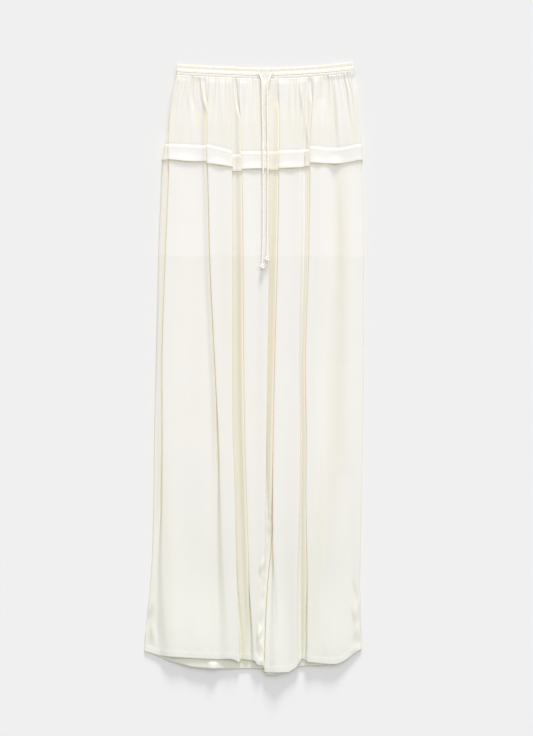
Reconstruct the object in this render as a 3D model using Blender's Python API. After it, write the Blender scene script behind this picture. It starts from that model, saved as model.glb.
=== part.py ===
"""Wide-legged ivory trousers, laid flat on their back.

The waist points along +Y, the underside is the plane z = 0, and the garment's right
as the viewer sees it is +X. All working sizes are in millimetres: `x` is measured
from the middle of the garment, `down` from the highest point of the waist towards
the hems, `z` up from the surface. Blender gets metres.

Every front piece (yoke, hip band, legs) follows one folded line across the garment,
so the pleats run through the seams. The line is made of stretches of cloth that lie
low, on the back, or high, on a fold, and of the folds between them.
"""

import math

import bpy
import numpy as np

MM = 0.001
LENGTH = 1132.2          # waist corner to the lowest point of the back hem
CENTRE_X = 1.35          # middle of the widest points, hem left and hip right
CLOTH = 1.2              # wall of the waist yoke and the legs
BAND_CLOTH = 1.0         # wall of the hip band
GAP = 0.3                # clearance at a seam, and between lapped layers
LOW_TURN = 0.62          # share of a fold's height that its lower turn takes
TURN_STEPS = 3           # straight pieces in each turn of a fold
FALL = 22.0              # how far a lapping panel needs to sink to the low level
SIDE_ROLL = 3.0          # width of the rounded edge at a side seam
INSEAM_ROLL = 1.5        # the same at an inseam

CROTCH_DOWN = (330.0, 350.0)   # the centre seam ends and the two inseams begin

# Visible edges of the folds (x, mm) at some distances down the garment.
PLACE_COLUMNS = (
    "down", "side_left", "outer_pleat", "inner_pleat", "left_box_a", "left_box_b",
    "middle_box_a", "centre", "middle_box_b", "right_box_a", "right_box_b", "side_right")
PLACES = (
    (31, -142.4, -143.5, -82.4, -41.3, -24.1, 29.0, 55, 47.5, 96.5, 112.6, 185.2),
    (51, -147.2, -148.3, -83.3, -41.3, -24.0, 29.0, 55, 47.5, 94.6, 111.5, 190.3),
    (78, -151.2, -152.0, -84.8, -40.8, -24.0, 29.1, 55, 47.5, 92.8, 109.6, 193.6),
    (115, -155.3, -155.8, -86.1, -40.1, -23.6, 29.3, 55, 47.5, 90.9, 107.0, 196.6),
    (158, -163.4, -157.2, -86.1, -39.5, -23.2, 29.5, 55, 47.5, 89.1, 104.4, 200.6),
    (191, -168.4, -156.4, -85.0, -38.9, -21.9, 29.1, 55, 47.1, 89.1, 104.2, 200.8),
    (254, -171.6, -158.6, -83.3, -38.8, -20.8, 29.3, 54, 46.0, 89.1, 103.3, 202.9),
    (347, -175.3, -162.5, -81.3, -38.4, -19.7, 29.3, 52, 44.3, 88.2, 102.0, 204.7),
    (570, -180.7, -169.0, -70.9, -38.4, -18.2, 26.7, 46.5, 38.6, 85.4, 95.6, 204.7),
    (683, -183.2, -168.6, -65.4, -37.6, -16.6, 24.9, 43.0, 36.4, 87.3, 97.4, 202.9),
    (796, -184.4, -169.0, -61.7, -33.9, -13.6, 23.4, 39.5, 35.4, 86.3, 96.8, 201.0),
    (889, -186.4, -169.7, -58.0, -31.7, -10.6, 21.6, 33.5, 35.6, 83.7, 98.1, 199.2),
    (965, -190.8, -170.8, -53.4, -29.7, -8.2, 16.0, 26.4, 38.6, 81.5, 99.3, 197.8),
    (1053, -199.7, -172.3, -46.9, -25.4, -2.5, 10.5, 21.9, 41.9, 80.8, 98.8, 199.0),
    (1113, -203.4, -172.7, -44.1, -25.1, 1.2, 8.6, 20.1, 43.8, 81.1, 98.9, 202.1),
)

# How far the cloth runs on under each visible edge (mm). Below zero the fold has
# opened into a slope that wide.
LAP_COLUMNS = (
    "down", "outer_pleat", "inner_pleat", "left_box_a", "left_box_b",
    "middle_box_a", "middle_box_b", "right_box_a", "right_box_b")
LAPS = (
    (31, 6, 8, 8, 8, 8, 11, -4, 8),
    (60, 10, 13, 12, 12, 12, 14, -5, 13),
    (115, 13, 17, 14, 14, 13, 16, -6, 16),
    (347, 14, 18, 15, 15, 13, 16, -5, 17),
    (570, 14, 15, 12, 15, 12, 15, -2.5, 15),
    (683, 13, 9, 11, 14, 9, 12, 0.8, 14),
    (796, 12, 6, 11, 12, 6, 9.5, 2.8, 13),
    (889, 8, 4, 10, 11, 3.8, 4.8, 4.5, 12),
    (927, 6, 0.8, 9, 10, 1, 1.5, 5.5, 12),
    (965, 4, -3, 9, 10, -2, -2, 6.5, 11),
    (1005, 1, -6, 9, 9, -4, -5, 7.5, 10),
    (1053, -3, -9, 8, 7, -6, -8, 8, 9),
    (1113, -7, -12, 6, 5, -6, -10, 7, 8),
)

# Middle of the cloth at the low level, and how much higher the folded level is (mm).
LEVEL_COLUMNS = ("down", "low", "rise")
LEVELS = (
    (31, 2.1, 4.8),
    (58, 2.1, 5.8),
    (84, 2.2, 6.6),
    (118, 2.9, 7.4),
    (158, 3.4, 7.8),
    (205, 3.4, 7.8),
    (226, 2.1, 7.6),
    (570, 2.1, 7.6),
    (889, 2.1, 6.8),
    (1000, 2.1, 6.2),
    (1113, 2.1, 5.0),
)

# Stretches of cloth from the left side seam to the right one. Each is level, or
# lies high and sinks to the low level; `sag` is the dip of its middle. `gathers`
# counts the gathers sewn into the waist, `leg_steps` the divisions below the yoke.
STRETCH_COLUMNS = ("name", "start", "end", "sag", "gathers", "leg_steps")
STRETCHES = (
    ("side_strip", "low", "low", 0.0, 0, 1),
    ("outer_panel", "high", "low", 0.0, 10, 8),
    ("inner_panel", "high", "high", 0.8, 8, 4),
    ("left_recess", "low", "low", 0.0, 3, 2),
    ("middle_panel", "high", "high", 1.8, 9, 4),
    ("centre_left", "low", "low", 0.0, 2, 2),
    ("centre_right", "low", "low", 0.0, 1, 2),
    ("right_panel", "high", "high", 1.2, 12, 4),
    ("right_recess", "low", "low", 0.0, 0, 2),
    ("last_panel", "high", "low", 0.0, 13, 8),
)
LEFT_STRETCHES = 6       # the first six are on the left leg

# Where the yoke seam, the lower edge of the hip band and the hem cross the start,
# middle and end of each stretch (mm down). The folds skew them against each other.
LINE_COLUMNS = ("name", "seam", "band", "hem")
LINES = (
    ("side_strip", (151.5, 151.6, 151.7), (180.6, 180.4, 180.2), (1089, 1092, 1096)),
    ("outer_panel", (151.7, 153.0, 156.0), (180.0, 183.3, 182.8), (1098, 1101, 1103)),
    ("inner_panel", (152.8, 157.5, 163.5), (187.2, 189.8, 193.3), (1102, 1104, 1109)),
    ("left_recess", (169.5, 170.9, 169.0), (201.5, 201.5, 200.5), (1103, 1104, 1105)),
    ("middle_panel", (165.0, 165.0, 165.2), (197.8, 196.7, 197.0), (1106, 1109, 1113)),
    ("centre_left", (165.4, 165.4, 165.0), (199.6, 199.6, 199.0), (1115, 1117, 1119)),
    ("centre_right", (165.0, 164.5, 164.2), (199.0, 198.0, 197.5), (1126, 1127, 1127)),
    ("right_panel", (163.7, 163.2, 162.5), (196.1, 195.4, 194.8), (1127, 1127, 1118)),
    ("right_recess", (161.7, 161.0, 160.0), (193.0, 192.0, 191.0), (1103, 1103, 1104)),
    ("last_panel", (155.2, 158.6, 151.3), (185.7, 187.6, 180.7), (1108, 1112, 1086)),
)

# Wide soft folds that lie over the legs: a ridge from one point to another.
SOFT_COLUMNS = ("down_start", "x_start", "down_end", "x_end", "half_width", "height")
SOFT_FOLDS = (
    (215, 170, 640, 166, 17, 2.6),
    (300, -122, 900, -118, 22, 1.4),
    (560, 62, 1010, 60, 13, 1.2),
    (700, 150, 1080, 152, 20, 1.6),
)

GATHER_COLUMNS = ("down", "height")
GATHERS = ((31, 0.8), (45, 0.75), (70, 0.5), (100, 0.28), (135, 0.1), (150, 0.0))

# Seam between the gathered yoke and the waist casing: it hangs in a shallow curve.
WAIST_COLUMNS = ("x", "down")
WAIST = ((-142, 24.8), (-126, 25.9), (-62, 29.2), (22, 32.0), (105, 28.6), (184, 21.1))

CASING_HEIGHT = 14.4
CASING_BASE = (2.5, 3.7)       # lower and upper face between the channels (z)
CHANNEL_COLUMNS = ("middle", "half_width", "height")
CHANNELS = ((3.7, 3.1, 3.9), (10.8, 3.0, 3.1))
CHANNEL_BREAK = (7.0, 35.8)    # the channels stop here and let the drawstring out
CASING_BACK_TOP = 21.1         # how far the back waist stands above the yoke seam
CASING_BACK_THICK = 2.0
CASING_ENDS = (-141.0, 184.2)
CASING_STEPS = 16

BACK_SEAM = 160.0
BACK_BAND_END = 187.0
BACK_FALL = 11.0               # the back leg comes down off the band within this
BACK_HEM_LEFT = ((0.0, 1088), (0.2, 1106), (0.4, 1117), (0.55, 1120), (0.75, 1121),
                 (1.0, 1120))
BACK_HEM_RIGHT = ((0.0, 1131), (0.14, 1132.2), (0.22, 1121), (0.4, 1116), (0.78, 1111),
                  (1.0, 1083))

# Drawstring ends: points on each route, from the casing to the knot (x, down).
CORD_DIAMETER = 3.6
CORD_STEP = 10.8
CORD_STRETCH = 4               # the middle panel carries both ends
KNOT = (4.4, 6.4, 3.3)         # half width, half length and half height
CORD_ROUTES = {
    "left": ((7.8, 21.4), (9.6, 21.6), (12.2, 23.4), (14.4, 28), (15.6, 36), (16.1, 48), (16.5, 78),
             (17.5, 118), (17.9, 145), (18.0, 162), (18.0, 181), (18.1, 199), (18.1, 217),
             (18.2, 254), (17.9, 328), (17.0, 358), (16.2, 371)),
    "right": ((35.0, 21.4), (33.2, 21.8), (31.2, 24.6), (29.4, 31), (27.4, 40), (25.9, 54), (25.6, 78),
              (26.2, 118), (26.7, 145), (26.9, 162), (26.8, 181), (26.7, 199), (26.7, 217),
              (26.5, 254), (26.0, 319), (25.5, 344), (24.8, 356.5)),
}

STATIONS = np.arange(16.0, 1140.0, 4.0)
YOKE_SHARES = (0.0, 0.09, 0.22, 0.42, 0.68, 1.0)
LEG_SHARES = (0.0, 0.028, 0.141, 0.165, 0.36, 0.537, 0.664, 0.761, 0.8, 0.844, 0.888, 0.931,
              1.0)
LEG_GAP = 0.9            # the two inseams lie this far apart

IVORY_SATIN = (0.86, 0.83, 0.75, 1.0)
IVORY_CREPE = (0.84, 0.81, 0.73, 1.0)


def smooth(amount):
    amount = min(max(amount, 0.0), 1.0)
    return amount * amount * (3.0 - 2.0 * amount)


def column(table, names, name, at):
    """Value of a named column at a distance given by the table's first column."""
    index = names.index(name)
    return float(np.interp(at, [row[0] for row in table], [row[index] for row in table]))


def waist_line(x):
    return column(WAIST, WAIST_COLUMNS, "down", x)


def leg_drop(down):
    """0 above the crotch, where the fronts meet; 1 below, where each leg is a tube."""
    start, end = CROTCH_DOWN
    return smooth((down - start) / (end - start))


def centre_gap(down):
    """Half the space between the two fronts: a seam, then the space between the legs."""
    return (GAP + (LEG_GAP - GAP) * leg_drop(down)) / 2.0


def line_values(index, share):
    """Where the seam, the band's lower edge and the hem cross a point of a stretch."""
    return [float(np.interp(share, (0.0, 0.5, 1.0), LINES[index][LINE_COLUMNS.index(name)]))
            for name in ("seam", "band", "hem")]


def soft_height(x, down):
    """Height that the wide soft folds add at a point."""
    total = 0.0
    for down_start, x_start, down_end, x_end, half_width, height in SOFT_FOLDS:
        share = (down - down_start) / (down_end - down_start)
        if 0.0 < share < 1.0:
            offset = (x - x_start - (x_end - x_start) * share) / half_width
            total += height * math.exp(-offset * offset) * math.sin(math.pi * share)
    return total


def fold_ends(name, down, rising):
    """Low and high end of a fold, in x, at a distance down the garment."""
    edge = column(PLACES, PLACE_COLUMNS, name, down)
    lap = column(LAPS, LAP_COLUMNS, name, down)
    half = column(LEVELS, LEVEL_COLUMNS, "rise", down) / 2.0
    low_radius = half * LOW_TURN
    high_radius = half - low_radius
    away = 1.0 if rising else -1.0
    edge += away * CLOTH / 2.0
    return edge + away * (lap - low_radius), edge + away * high_radius


def fold_points(low_x, high_x, low_z, rise, rising):
    """A rounded turn up, a straight run and a turn over, as (x, z) from low to high.

    Where the high end lies past the low end the cloth doubles back over itself.
    """
    away = 1.0 if rising else -1.0
    half = rise / 2.0
    run = (high_x - low_x) * away
    sweep = math.pi if run <= 0.0 else 2.0 * math.atan2(half, run)
    low_radius = half * LOW_TURN
    high_radius = half - low_radius
    angles = [sweep * step / TURN_STEPS for step in range(TURN_STEPS + 1)]
    points = [(low_x + away * low_radius * math.sin(angle),
               low_z + low_radius * (1.0 - math.cos(angle))) for angle in angles]
    points += [(high_x - away * high_radius * math.sin(angle),
                low_z + rise - high_radius * (1.0 - math.cos(angle)))
               for angle in reversed(angles)]
    return points


def stretch_ends(index, down):
    """Start and end of a stretch in x, and how far the fold at its start laps."""
    folds = PLACE_COLUMNS[2:7] + PLACE_COLUMNS[8:11]
    fold_before = {1: 0, 2: 1, 3: 2, 4: 3, 5: 4, 7: 5, 8: 6, 9: 7}
    ends = []
    for side in (index, index + 1):
        if side in fold_before:
            name = folds[fold_before[side]]
            rising = STRETCHES[side][1] == "high"
            low_x, high_x = fold_ends(name, down, rising)
            level = STRETCHES[side][1] if side == index else STRETCHES[side - 1][2]
            ends.append(high_x if level == "high" else low_x)
        else:
            ends.append(None)
    lap = 0.0
    if index in fold_before:
        lap = max(0.0, column(LAPS, LAP_COLUMNS, folds[fold_before[index]], down))
    return ends[0], ends[1], lap


def edge_roll(edge_x, low_z, width, drop, inward):
    """Rounded edge of a front piece, from its cut edge in to the low level."""
    end_z = low_z * (1.0 - drop)
    start_x = edge_x + inward * CLOTH / 2.0 * drop
    angles = (0.0, 0.3 * math.pi / 2, 0.65 * math.pi / 2)
    return [(start_x + inward * width * (1.0 - math.cos(angle)),
             end_z + (low_z - end_z) * math.sin(angle)) for angle in angles]


def front_line(first, last, down, gathered):
    """The folded line across some stretches: x, z and the three line values a point."""
    low = column(LEVELS, LEVEL_COLUMNS, "low", down)
    rise = column(LEVELS, LEVEL_COLUMNS, "rise", down)
    gather_height = column(GATHERS, GATHER_COLUMNS, "height", down) if gathered else 0.0
    centre = column(PLACES, PLACE_COLUMNS, "centre", down)
    whole = first == 0 and last == len(STRETCHES) - 1
    drop = 0.0 if whole else leg_drop(down)
    apart = centre_gap(down)
    points = []

    def add(x, z, values):
        points.append((x, z, values))

    for index in range(first, last + 1):
        name, start, end, sag, gathers, leg_steps = STRETCHES[index]
        x_start, x_end, lap = stretch_ends(index, down)
        if name == "side_strip":
            edge = column(PLACES, PLACE_COLUMNS, "side_left", down)
            for x, z in edge_roll(edge, low, INSEAM_ROLL, 1.0, 1.0):
                add(x, z, line_values(index, 0.0))
            x_start = edge + CLOTH / 2.0 + INSEAM_ROLL
        if name == "centre_right":
            x_start = centre
            if not whole:
                for x, z in edge_roll(centre + apart, low, INSEAM_ROLL, drop, 1.0):
                    add(x, z, line_values(index, 0.0))
                x_start = centre + apart + CLOTH / 2.0 * drop + INSEAM_ROLL
        if name == "centre_left":
            x_end = centre
            if not whole:
                x_end = centre - apart - CLOTH / 2.0 * drop - INSEAM_ROLL
        if name == "last_panel":
            edge = column(PLACES, PLACE_COLUMNS, "side_right", down)
            x_end = edge - CLOTH / 2.0 - SIDE_ROLL
        steps = 2 * gathers if gathered and gathers else leg_steps
        joined = whole and name == "centre_right"
        for step in range(1 if joined else 0, steps + 1):
            share = step / steps
            x = x_start + (x_end - x_start) * share
            height = {"low": low, "high": low + rise}
            z = height[start]
            if start != end:
                z += (height[end] - height[start]) * smooth((x - x_start - lap) / FALL)
            z -= sag * smooth((x_end - x_start - 20) / 20) * math.sin(math.pi * share) ** 2
            if 0 < step < steps:
                uneven = 0.75 + 0.3 * math.sin(2.4 * step + index)
                z += gather_height * uneven * 2 * (step % 2)
                z += soft_height(x, down)
            add(x, z, line_values(index, share))
        if name == "centre_left" and not whole:
            roll = edge_roll(centre - apart, low, INSEAM_ROLL, drop, -1.0)
            for x, z in reversed(roll):
                add(x, z, line_values(index, 1.0))
        if name == "last_panel":
            for x, z in reversed(edge_roll(edge, low, SIDE_ROLL, 1.0, -1.0)):
                add(x, z, line_values(index, 1.0))
        if index < last and not name == "centre_left":
            rising = STRETCHES[index + 1][1] == "high"
            low_x = x_end if rising else stretch_ends(index + 1, down)[0]
            high_x = stretch_ends(index + 1, down)[0] if rising else x_end
            turn = fold_points(low_x, high_x, low, rise, rising)
            if not rising:
                turn.reverse()
            before = line_values(index, 1.0)
            after = line_values(index + 1, 0.0)
            for step, (x, z) in enumerate(turn[1:-1], 1):
                share = step / (len(turn) - 1)
                add(x, z, [a + (b - a) * share for a, b in zip(before, after)])
    return points


def side_normals(path):
    """Unit normals of a folded line, pointing to the cloth's outer side."""
    steps = np.diff(path, axis=0)
    steps /= np.linalg.norm(steps, axis=1)[:, None]
    along = np.vstack((steps[:1], steps[:-1] + steps[1:], steps[-1:]))
    along /= np.linalg.norm(along, axis=1)[:, None]
    return np.column_stack((-along[:, 1], along[:, 0]))


class FoldedSheet:
    """The folded line at many distances down the garment, so that any of its points
    can be read at its own distance, on the cloth or moved out from it."""

    def __init__(self, first, last, gathered=False):
        lines = [front_line(first, last, down, gathered) for down in STATIONS]
        self.paths = np.array([[(x, z) for x, z, values in line] for line in lines])
        self.normals = np.array([side_normals(path) for path in self.paths])
        self.lines = [values for x, z, values in lines[0]]

    def row(self, downs, distance):
        """One row of points, each at its own distance down."""
        row = []
        for index, down in enumerate(downs):
            moved = self.paths[:, index] + distance * self.normals[:, index]
            x, z = [float(np.interp(down, STATIONS, moved[:, axis])) for axis in (0, 1)]
            row.append(position(x, down, max(0.0, z)))
        return row

    def waist(self):
        return [waist_line(float(x)) + GAP for x in self.paths[0, :, 0]]


def position(x, down, z):
    return ((x - CENTRE_X) * MM, (LENGTH / 2.0 - down) * MM, z * MM)


def material(name, colour, roughness):
    found = bpy.data.materials.get(name)
    if found:
        return found
    made = bpy.data.materials.new(name)
    made.use_nodes = True
    shader = made.node_tree.nodes["Principled BSDF"]
    shader.inputs["Base Color"].default_value = colour
    shader.inputs["Roughness"].default_value = roughness
    shader.inputs["Metallic"].default_value = 0.0
    return made


def add_object(name, vertices, faces, finish, smooth_shaded=True):
    mesh = bpy.data.meshes.new(name)
    mesh.from_pydata(vertices, [], faces)
    mesh.validate()
    if smooth_shaded:
        mesh.shade_smooth()
        mesh.set_sharp_from_angle(angle=math.radians(40))
    mesh.materials.append(finish)
    made = bpy.data.objects.new(name, mesh)
    bpy.context.scene.collection.objects.link(made)
    return made


def wall(name, upper, lower, finish):
    """Closed sheet between two grids of points, rows down and columns across."""
    rows = len(upper)
    columns = len(upper[0])
    vertices = [point for grid in (upper, lower) for row in grid for point in row]

    def corner(side, row, across):
        return side * rows * columns + row * columns + across

    faces = []
    for row in range(rows - 1):
        for across in range(columns - 1):
            for side in (0, 1):
                face = [corner(side, row, across), corner(side, row + 1, across),
                        corner(side, row + 1, across + 1), corner(side, row, across + 1)]
                faces.append(face if side == 0 else face[::-1])
    for across in range(columns - 1):
        faces.append([corner(0, 0, across), corner(0, 0, across + 1),
                      corner(1, 0, across + 1), corner(1, 0, across)])
        faces.append([corner(0, rows - 1, across), corner(1, rows - 1, across),
                      corner(1, rows - 1, across + 1), corner(0, rows - 1, across + 1)])
    for row in range(rows - 1):
        faces.append([corner(0, row, 0), corner(1, row, 0),
                      corner(1, row + 1, 0), corner(0, row + 1, 0)])
        faces.append([corner(0, row, columns - 1), corner(0, row + 1, columns - 1),
                      corner(1, row + 1, columns - 1), corner(1, row, columns - 1)])
    return add_object(name, vertices, faces, finish)


def front_piece(name, sheet, rows, distances, finish):
    """A front panel as a folded wall, from its rows' distances down the garment."""
    outer, inner = [[sheet.row(downs, distance) for downs in rows] for distance in distances]
    return wall(name, outer, inner, finish)


def shared_rows(starts, ends, shares):
    return [[start + (end - start) * share for start, end in zip(starts, ends)]
            for share in shares]


def build_front(satin, crepe):
    last = len(STRETCHES) - 1
    walls = (CLOTH / 2, -CLOTH / 2)
    yoke = FoldedSheet(0, last, gathered=True)
    seam = [values[0] - GAP / 2 for values in yoke.lines]
    front_piece("yoke_front", yoke, shared_rows(yoke.waist(), seam, YOKE_SHARES), walls, satin)
    for name, first, final in (("leg_front_left", 0, LEFT_STRETCHES - 1),
                               ("leg_front_right", LEFT_STRETCHES, last)):
        leg = FoldedSheet(first, final)
        seam, band, hem = [[values[index] for values in leg.lines] for index in range(3)]
        rows = [[down + GAP / 2 for down in seam]] + shared_rows(band, hem, LEG_SHARES)
        front_piece(name, leg, rows, walls, crepe)
    whole = FoldedSheet(0, last)
    rows = [[values[0] + GAP / 2 for values in whole.lines], [values[1] for values in whole.lines]]
    over = CLOTH / 2 + GAP
    front_piece("hip_band_front", whole, rows, (over + BAND_CLOTH, over), crepe)


def back_panel(name, downs, left_of, right_of, level_of, thick, finish, columns=6,
               top_of=None, end_of=None):
    """A flat back piece. Its rows run from one edge line to the other."""
    upper = []
    lower = []
    for down in downs:
        left = left_of(down)
        right = right_of(down)
        row_up = []
        row_low = []
        for step in range(columns + 1):
            share = step / columns
            x = left + (right - left) * share
            at = down
            if top_of and down == downs[0]:
                at = top_of(x)
            if end_of and down == downs[-1]:
                at = end_of(share)
            level = level_of(down)
            row_up.append(position(x, at, level + thick))
            row_low.append(position(x, at, level))
        upper.append(row_up)
        lower.append(row_low)
    return wall(name, upper, lower, finish)


def side_left(down):
    inset = CLOTH + GAP + 0.8 * INSEAM_ROLL
    return column(PLACES, PLACE_COLUMNS, "side_left", down) + inset


def side_right(down):
    inset = CLOTH + GAP + 0.8 * SIDE_ROLL
    return column(PLACES, PLACE_COLUMNS, "side_right", down) - inset


def centre_edge(down, away):
    inset = centre_gap(down) + leg_drop(down) * (CLOTH + GAP + 0.8 * INSEAM_ROLL)
    return column(PLACES, PLACE_COLUMNS, "centre", down) + away * inset


def flat(down):
    return 0.0


def over_band(down):
    return (BAND_CLOTH + GAP) * (1.0 - smooth((down - BACK_BAND_END - 1.0) / BACK_FALL))


def hem_of(line):
    return lambda share: float(np.interp(share, [row[0] for row in line],
                                         [row[1] for row in line]))


def build_back(satin, crepe):
    yoke_top = CASING_BACK_TOP - CASING_HEIGHT - GAP
    back_panel("yoke_back", (24, 38, 58, 84, 115, BACK_SEAM - GAP), side_left, side_right,
               flat, CLOTH, satin, 8, top_of=lambda x: waist_line(x) - yoke_top)
    back_panel("hip_band_back", (BACK_SEAM, BACK_BAND_END), side_left, side_right, flat,
               BAND_CLOTH, crepe)
    rows = (BACK_SEAM, BACK_BAND_END + 1.0, BACK_BAND_END + 1.0 + BACK_FALL, 330, 350, 570,
            683, 796, 889, 927, 965, 1005, 1053, 1100)
    back_panel("leg_back_left", rows, side_left, lambda down: centre_edge(down, -1.0),
               over_band, CLOTH, crepe, 8, end_of=hem_of(BACK_HEM_LEFT))
    back_panel("leg_back_right", rows, lambda down: centre_edge(down, 1.0), side_right,
               over_band, CLOTH, crepe, 8, end_of=hem_of(BACK_HEM_RIGHT))


def casing_profile(ridge):
    """Outer face of the front casing from its top edge down: (down, z)."""
    top = CASING_BASE[1]
    profile = [(0.0, top)]
    for middle, half_width, height in CHANNELS:
        for angle in (0, 40, 90, 140, 180):
            turn = math.radians(angle)
            profile.append((middle - half_width * math.cos(turn),
                            top + 0.2 + height * ridge * math.sin(turn)))
    profile.append((CASING_HEIGHT, top))
    return profile


def build_casings(satin):
    start, end = CASING_ENDS
    break_start, break_end = CHANNEL_BREAK
    stops = {start + (end - start) * step / CASING_STEPS for step in range(CASING_STEPS + 1)}
    stops = {x for x in stops if not break_start - 5 < x < break_end + 5}
    ramp = 0.6
    stops |= {break_start - ramp, break_start, break_end, break_end + ramp,
              (break_start + break_end) / 2}
    upper = []
    lower = []
    for x in sorted(stops):
        ridge = 0.0 if break_start <= x <= break_end else 1.0
        top = waist_line(x) - CASING_HEIGHT
        upper.append([position(x, top + down, z) for down, z in casing_profile(ridge)])
        lower.append([position(x, top + down, CASING_BASE[0])
                      for down, z in casing_profile(ridge)])
    wall("waistband_front", [row[::-1] for row in upper], [row[::-1] for row in lower], satin)

    upper = []
    lower = []
    for down in (0.0, CASING_HEIGHT):
        row_up = []
        row_low = []
        for step in range(CASING_STEPS + 1):
            x = start + (end - start) * step / CASING_STEPS
            at = waist_line(x) - CASING_BACK_TOP + down
            row_up.append(position(x, at, CASING_BACK_THICK))
            row_low.append(position(x, at, 0.0))
        upper.append(row_up)
        lower.append(row_low)
    wall("waistband_back", upper, lower, satin)


def panel_top(down):
    """Upper face of the cloth where it lies on a fold, its gathers included."""
    top = CLOTH / 2 + 2.1 * column(GATHERS, GATHER_COLUMNS, "height", down)
    return top + sum(column(LEVELS, LEVEL_COLUMNS, name, down) for name in ("low", "rise"))


def cord_height(down):
    """Middle of a drawstring end: out of its channel, over the yoke, up over the band."""
    channel = CASING_BASE[1] + 0.5 + CORD_DIAMETER / 2
    surface = panel_top(down) + GAP + CORD_DIAMETER / 2
    seam, band, hem = line_values(CORD_STRETCH, 0.5)
    surface += (BAND_CLOTH + GAP) * (smooth((down - seam + 19) / 15) -
                                     smooth((down - band - 3) / 15))
    return channel + (surface - channel) * smooth((down - 22) / 9)


def through(points, share):
    """Point on a smooth curve through the route's points."""
    spans = len(points) - 1
    place = min(share * spans, spans - 1e-9)
    index = int(place)
    part = place - index
    before = points[max(index - 1, 0)]
    here = points[index]
    there = points[index + 1]
    after = points[min(index + 2, spans)]
    return [0.5 * (2 * b + (c - a) * part + (2 * a - 5 * b + 4 * c - d) * part ** 2
                   + (3 * b - a - 3 * c + d) * part ** 3)
            for a, b, c, d in zip(before, here, there, after)]


def cord_points(route):
    """Evenly spaced points along a drawstring end, in metres."""
    solid_route = [(x, down, cord_height(down)) for x, down in route]
    dense = np.array([through(solid_route, step / 600) for step in range(601)])
    lengths = np.concatenate(([0.0], np.cumsum(np.linalg.norm(np.diff(dense, axis=0), axis=1))))
    count = int(round(lengths[-1] / CORD_STEP))
    stops = np.linspace(0.0, lengths[-1], count + 1)
    stops = np.insert(stops, 1, (stops[1] * 0.5,))
    return [position(*[float(np.interp(stop, lengths, dense[:, axis])) for axis in range(3)])
            for stop in stops]


def build_cords(satin):
    for side, route in CORD_ROUTES.items():
        name = f"drawstring_{side}"
        line = cord_points(route)
        curve = bpy.data.curves.new(name, "CURVE")
        curve.dimensions = "3D"
        curve.bevel_depth = CORD_DIAMETER / 2 * MM
        curve.bevel_resolution = 2
        curve.use_fill_caps = True
        spline = curve.splines.new("POLY")
        spline.points.add(len(line) - 1)
        for point, place in zip(spline.points, line):
            point.co = (*place, 1.0)
        curve.materials.append(satin)
        made = bpy.data.objects.new(name, curve)
        bpy.context.scene.collection.objects.link(made)
        build_knot(f"knot_{side}", route, satin)


def build_knot(name, route, satin):
    """A small overhand knot as one rounded lump, just past the end of its cord."""
    last_x, last_down = route[-1]
    half_width, half_length, half_height = KNOT
    middle_down = last_down + GAP + half_length
    bottom = panel_top(middle_down) + GAP
    bpy.ops.mesh.primitive_uv_sphere_add(segments=12, ring_count=8)
    knot = bpy.context.object
    knot.name = name
    knot.data.name = name
    for vertex in knot.data.vertices:
        x, y, z = vertex.co
        waist = 1.0 - 0.22 * math.exp(-(y * 2.4) ** 2)
        vertex.co = position(last_x + half_width * x * waist, middle_down - half_length * y,
                             bottom + half_height * (1.0 + z))
    knot.data.materials.append(satin)
    knot.data.shade_smooth()


def build():
    for found in list(bpy.data.objects):
        bpy.data.objects.remove(found, do_unlink=True)
    satin = material("ivory_satin", IVORY_SATIN, 0.42)
    crepe = material("ivory_crepe", IVORY_CREPE, 0.85)
    build_back(satin, crepe)
    build_front(satin, crepe)
    build_casings(satin)
    build_cords(satin)


build()
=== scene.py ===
"""Looks of a pair of wide-legged ivory trousers, laid flat on their back.

The tables repeat the trousers' own sizes in millimetres: `x` from the middle of the
garment, `down` from the top of the waist towards the hems, `z` up from the surface.
Each piece of cloth is a thin shell on the form of its solid, with finer folds,
gathers, hems and stitching.
"""

import math

import bmesh
import bpy
import numpy as np
from bpy.props import FloatProperty, FloatVectorProperty, PointerProperty
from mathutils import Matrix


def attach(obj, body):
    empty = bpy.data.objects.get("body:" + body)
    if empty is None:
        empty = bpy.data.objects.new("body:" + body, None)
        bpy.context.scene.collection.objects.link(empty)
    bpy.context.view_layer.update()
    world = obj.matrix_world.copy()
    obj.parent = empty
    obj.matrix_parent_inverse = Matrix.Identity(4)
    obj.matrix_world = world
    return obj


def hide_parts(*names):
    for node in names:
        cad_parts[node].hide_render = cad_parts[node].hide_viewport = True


bl_info = {
    "name": "Flat-laid wide trousers",
    "version": (1, 0, 0),
    "blender": (4, 5, 0),
    "location": "3D View > Sidebar > Trousers",
    "description": "Dresses a pair of drawstring trousers: casings, yoke, band, legs and cords",
    "category": "Object",
}

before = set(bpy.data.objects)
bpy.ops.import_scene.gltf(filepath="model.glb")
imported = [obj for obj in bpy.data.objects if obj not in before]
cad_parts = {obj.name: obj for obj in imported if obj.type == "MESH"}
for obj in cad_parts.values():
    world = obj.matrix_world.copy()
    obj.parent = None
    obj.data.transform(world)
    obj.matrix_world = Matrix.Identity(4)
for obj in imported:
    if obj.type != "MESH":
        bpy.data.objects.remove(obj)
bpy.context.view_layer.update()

MM = 0.001
LENGTH = 1132.2
CENTRE_X = 1.35          # where the middle of the frame lies in the tables' x
CLOTH = 1.2              # wall of the solids that the shells follow
GAP = 0.3                # between two solids that lie against each other
LOW_TURN = 0.62          # share of a fold's rise that its lower turn takes
TURN_STEPS = 5
SIDE_ROLL = 3.0
INSEAM_ROLL = 1.0
ROLL_TURN = 0.8          # how far an edge is rolled, as a share of a quarter turn
INSEAM_DROP = 0.45       # how far down the inseam's edge turns, as a share of its height
LEG_GAP = 0.4
CROTCH_DOWN = (330.0, 350.0)
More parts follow.
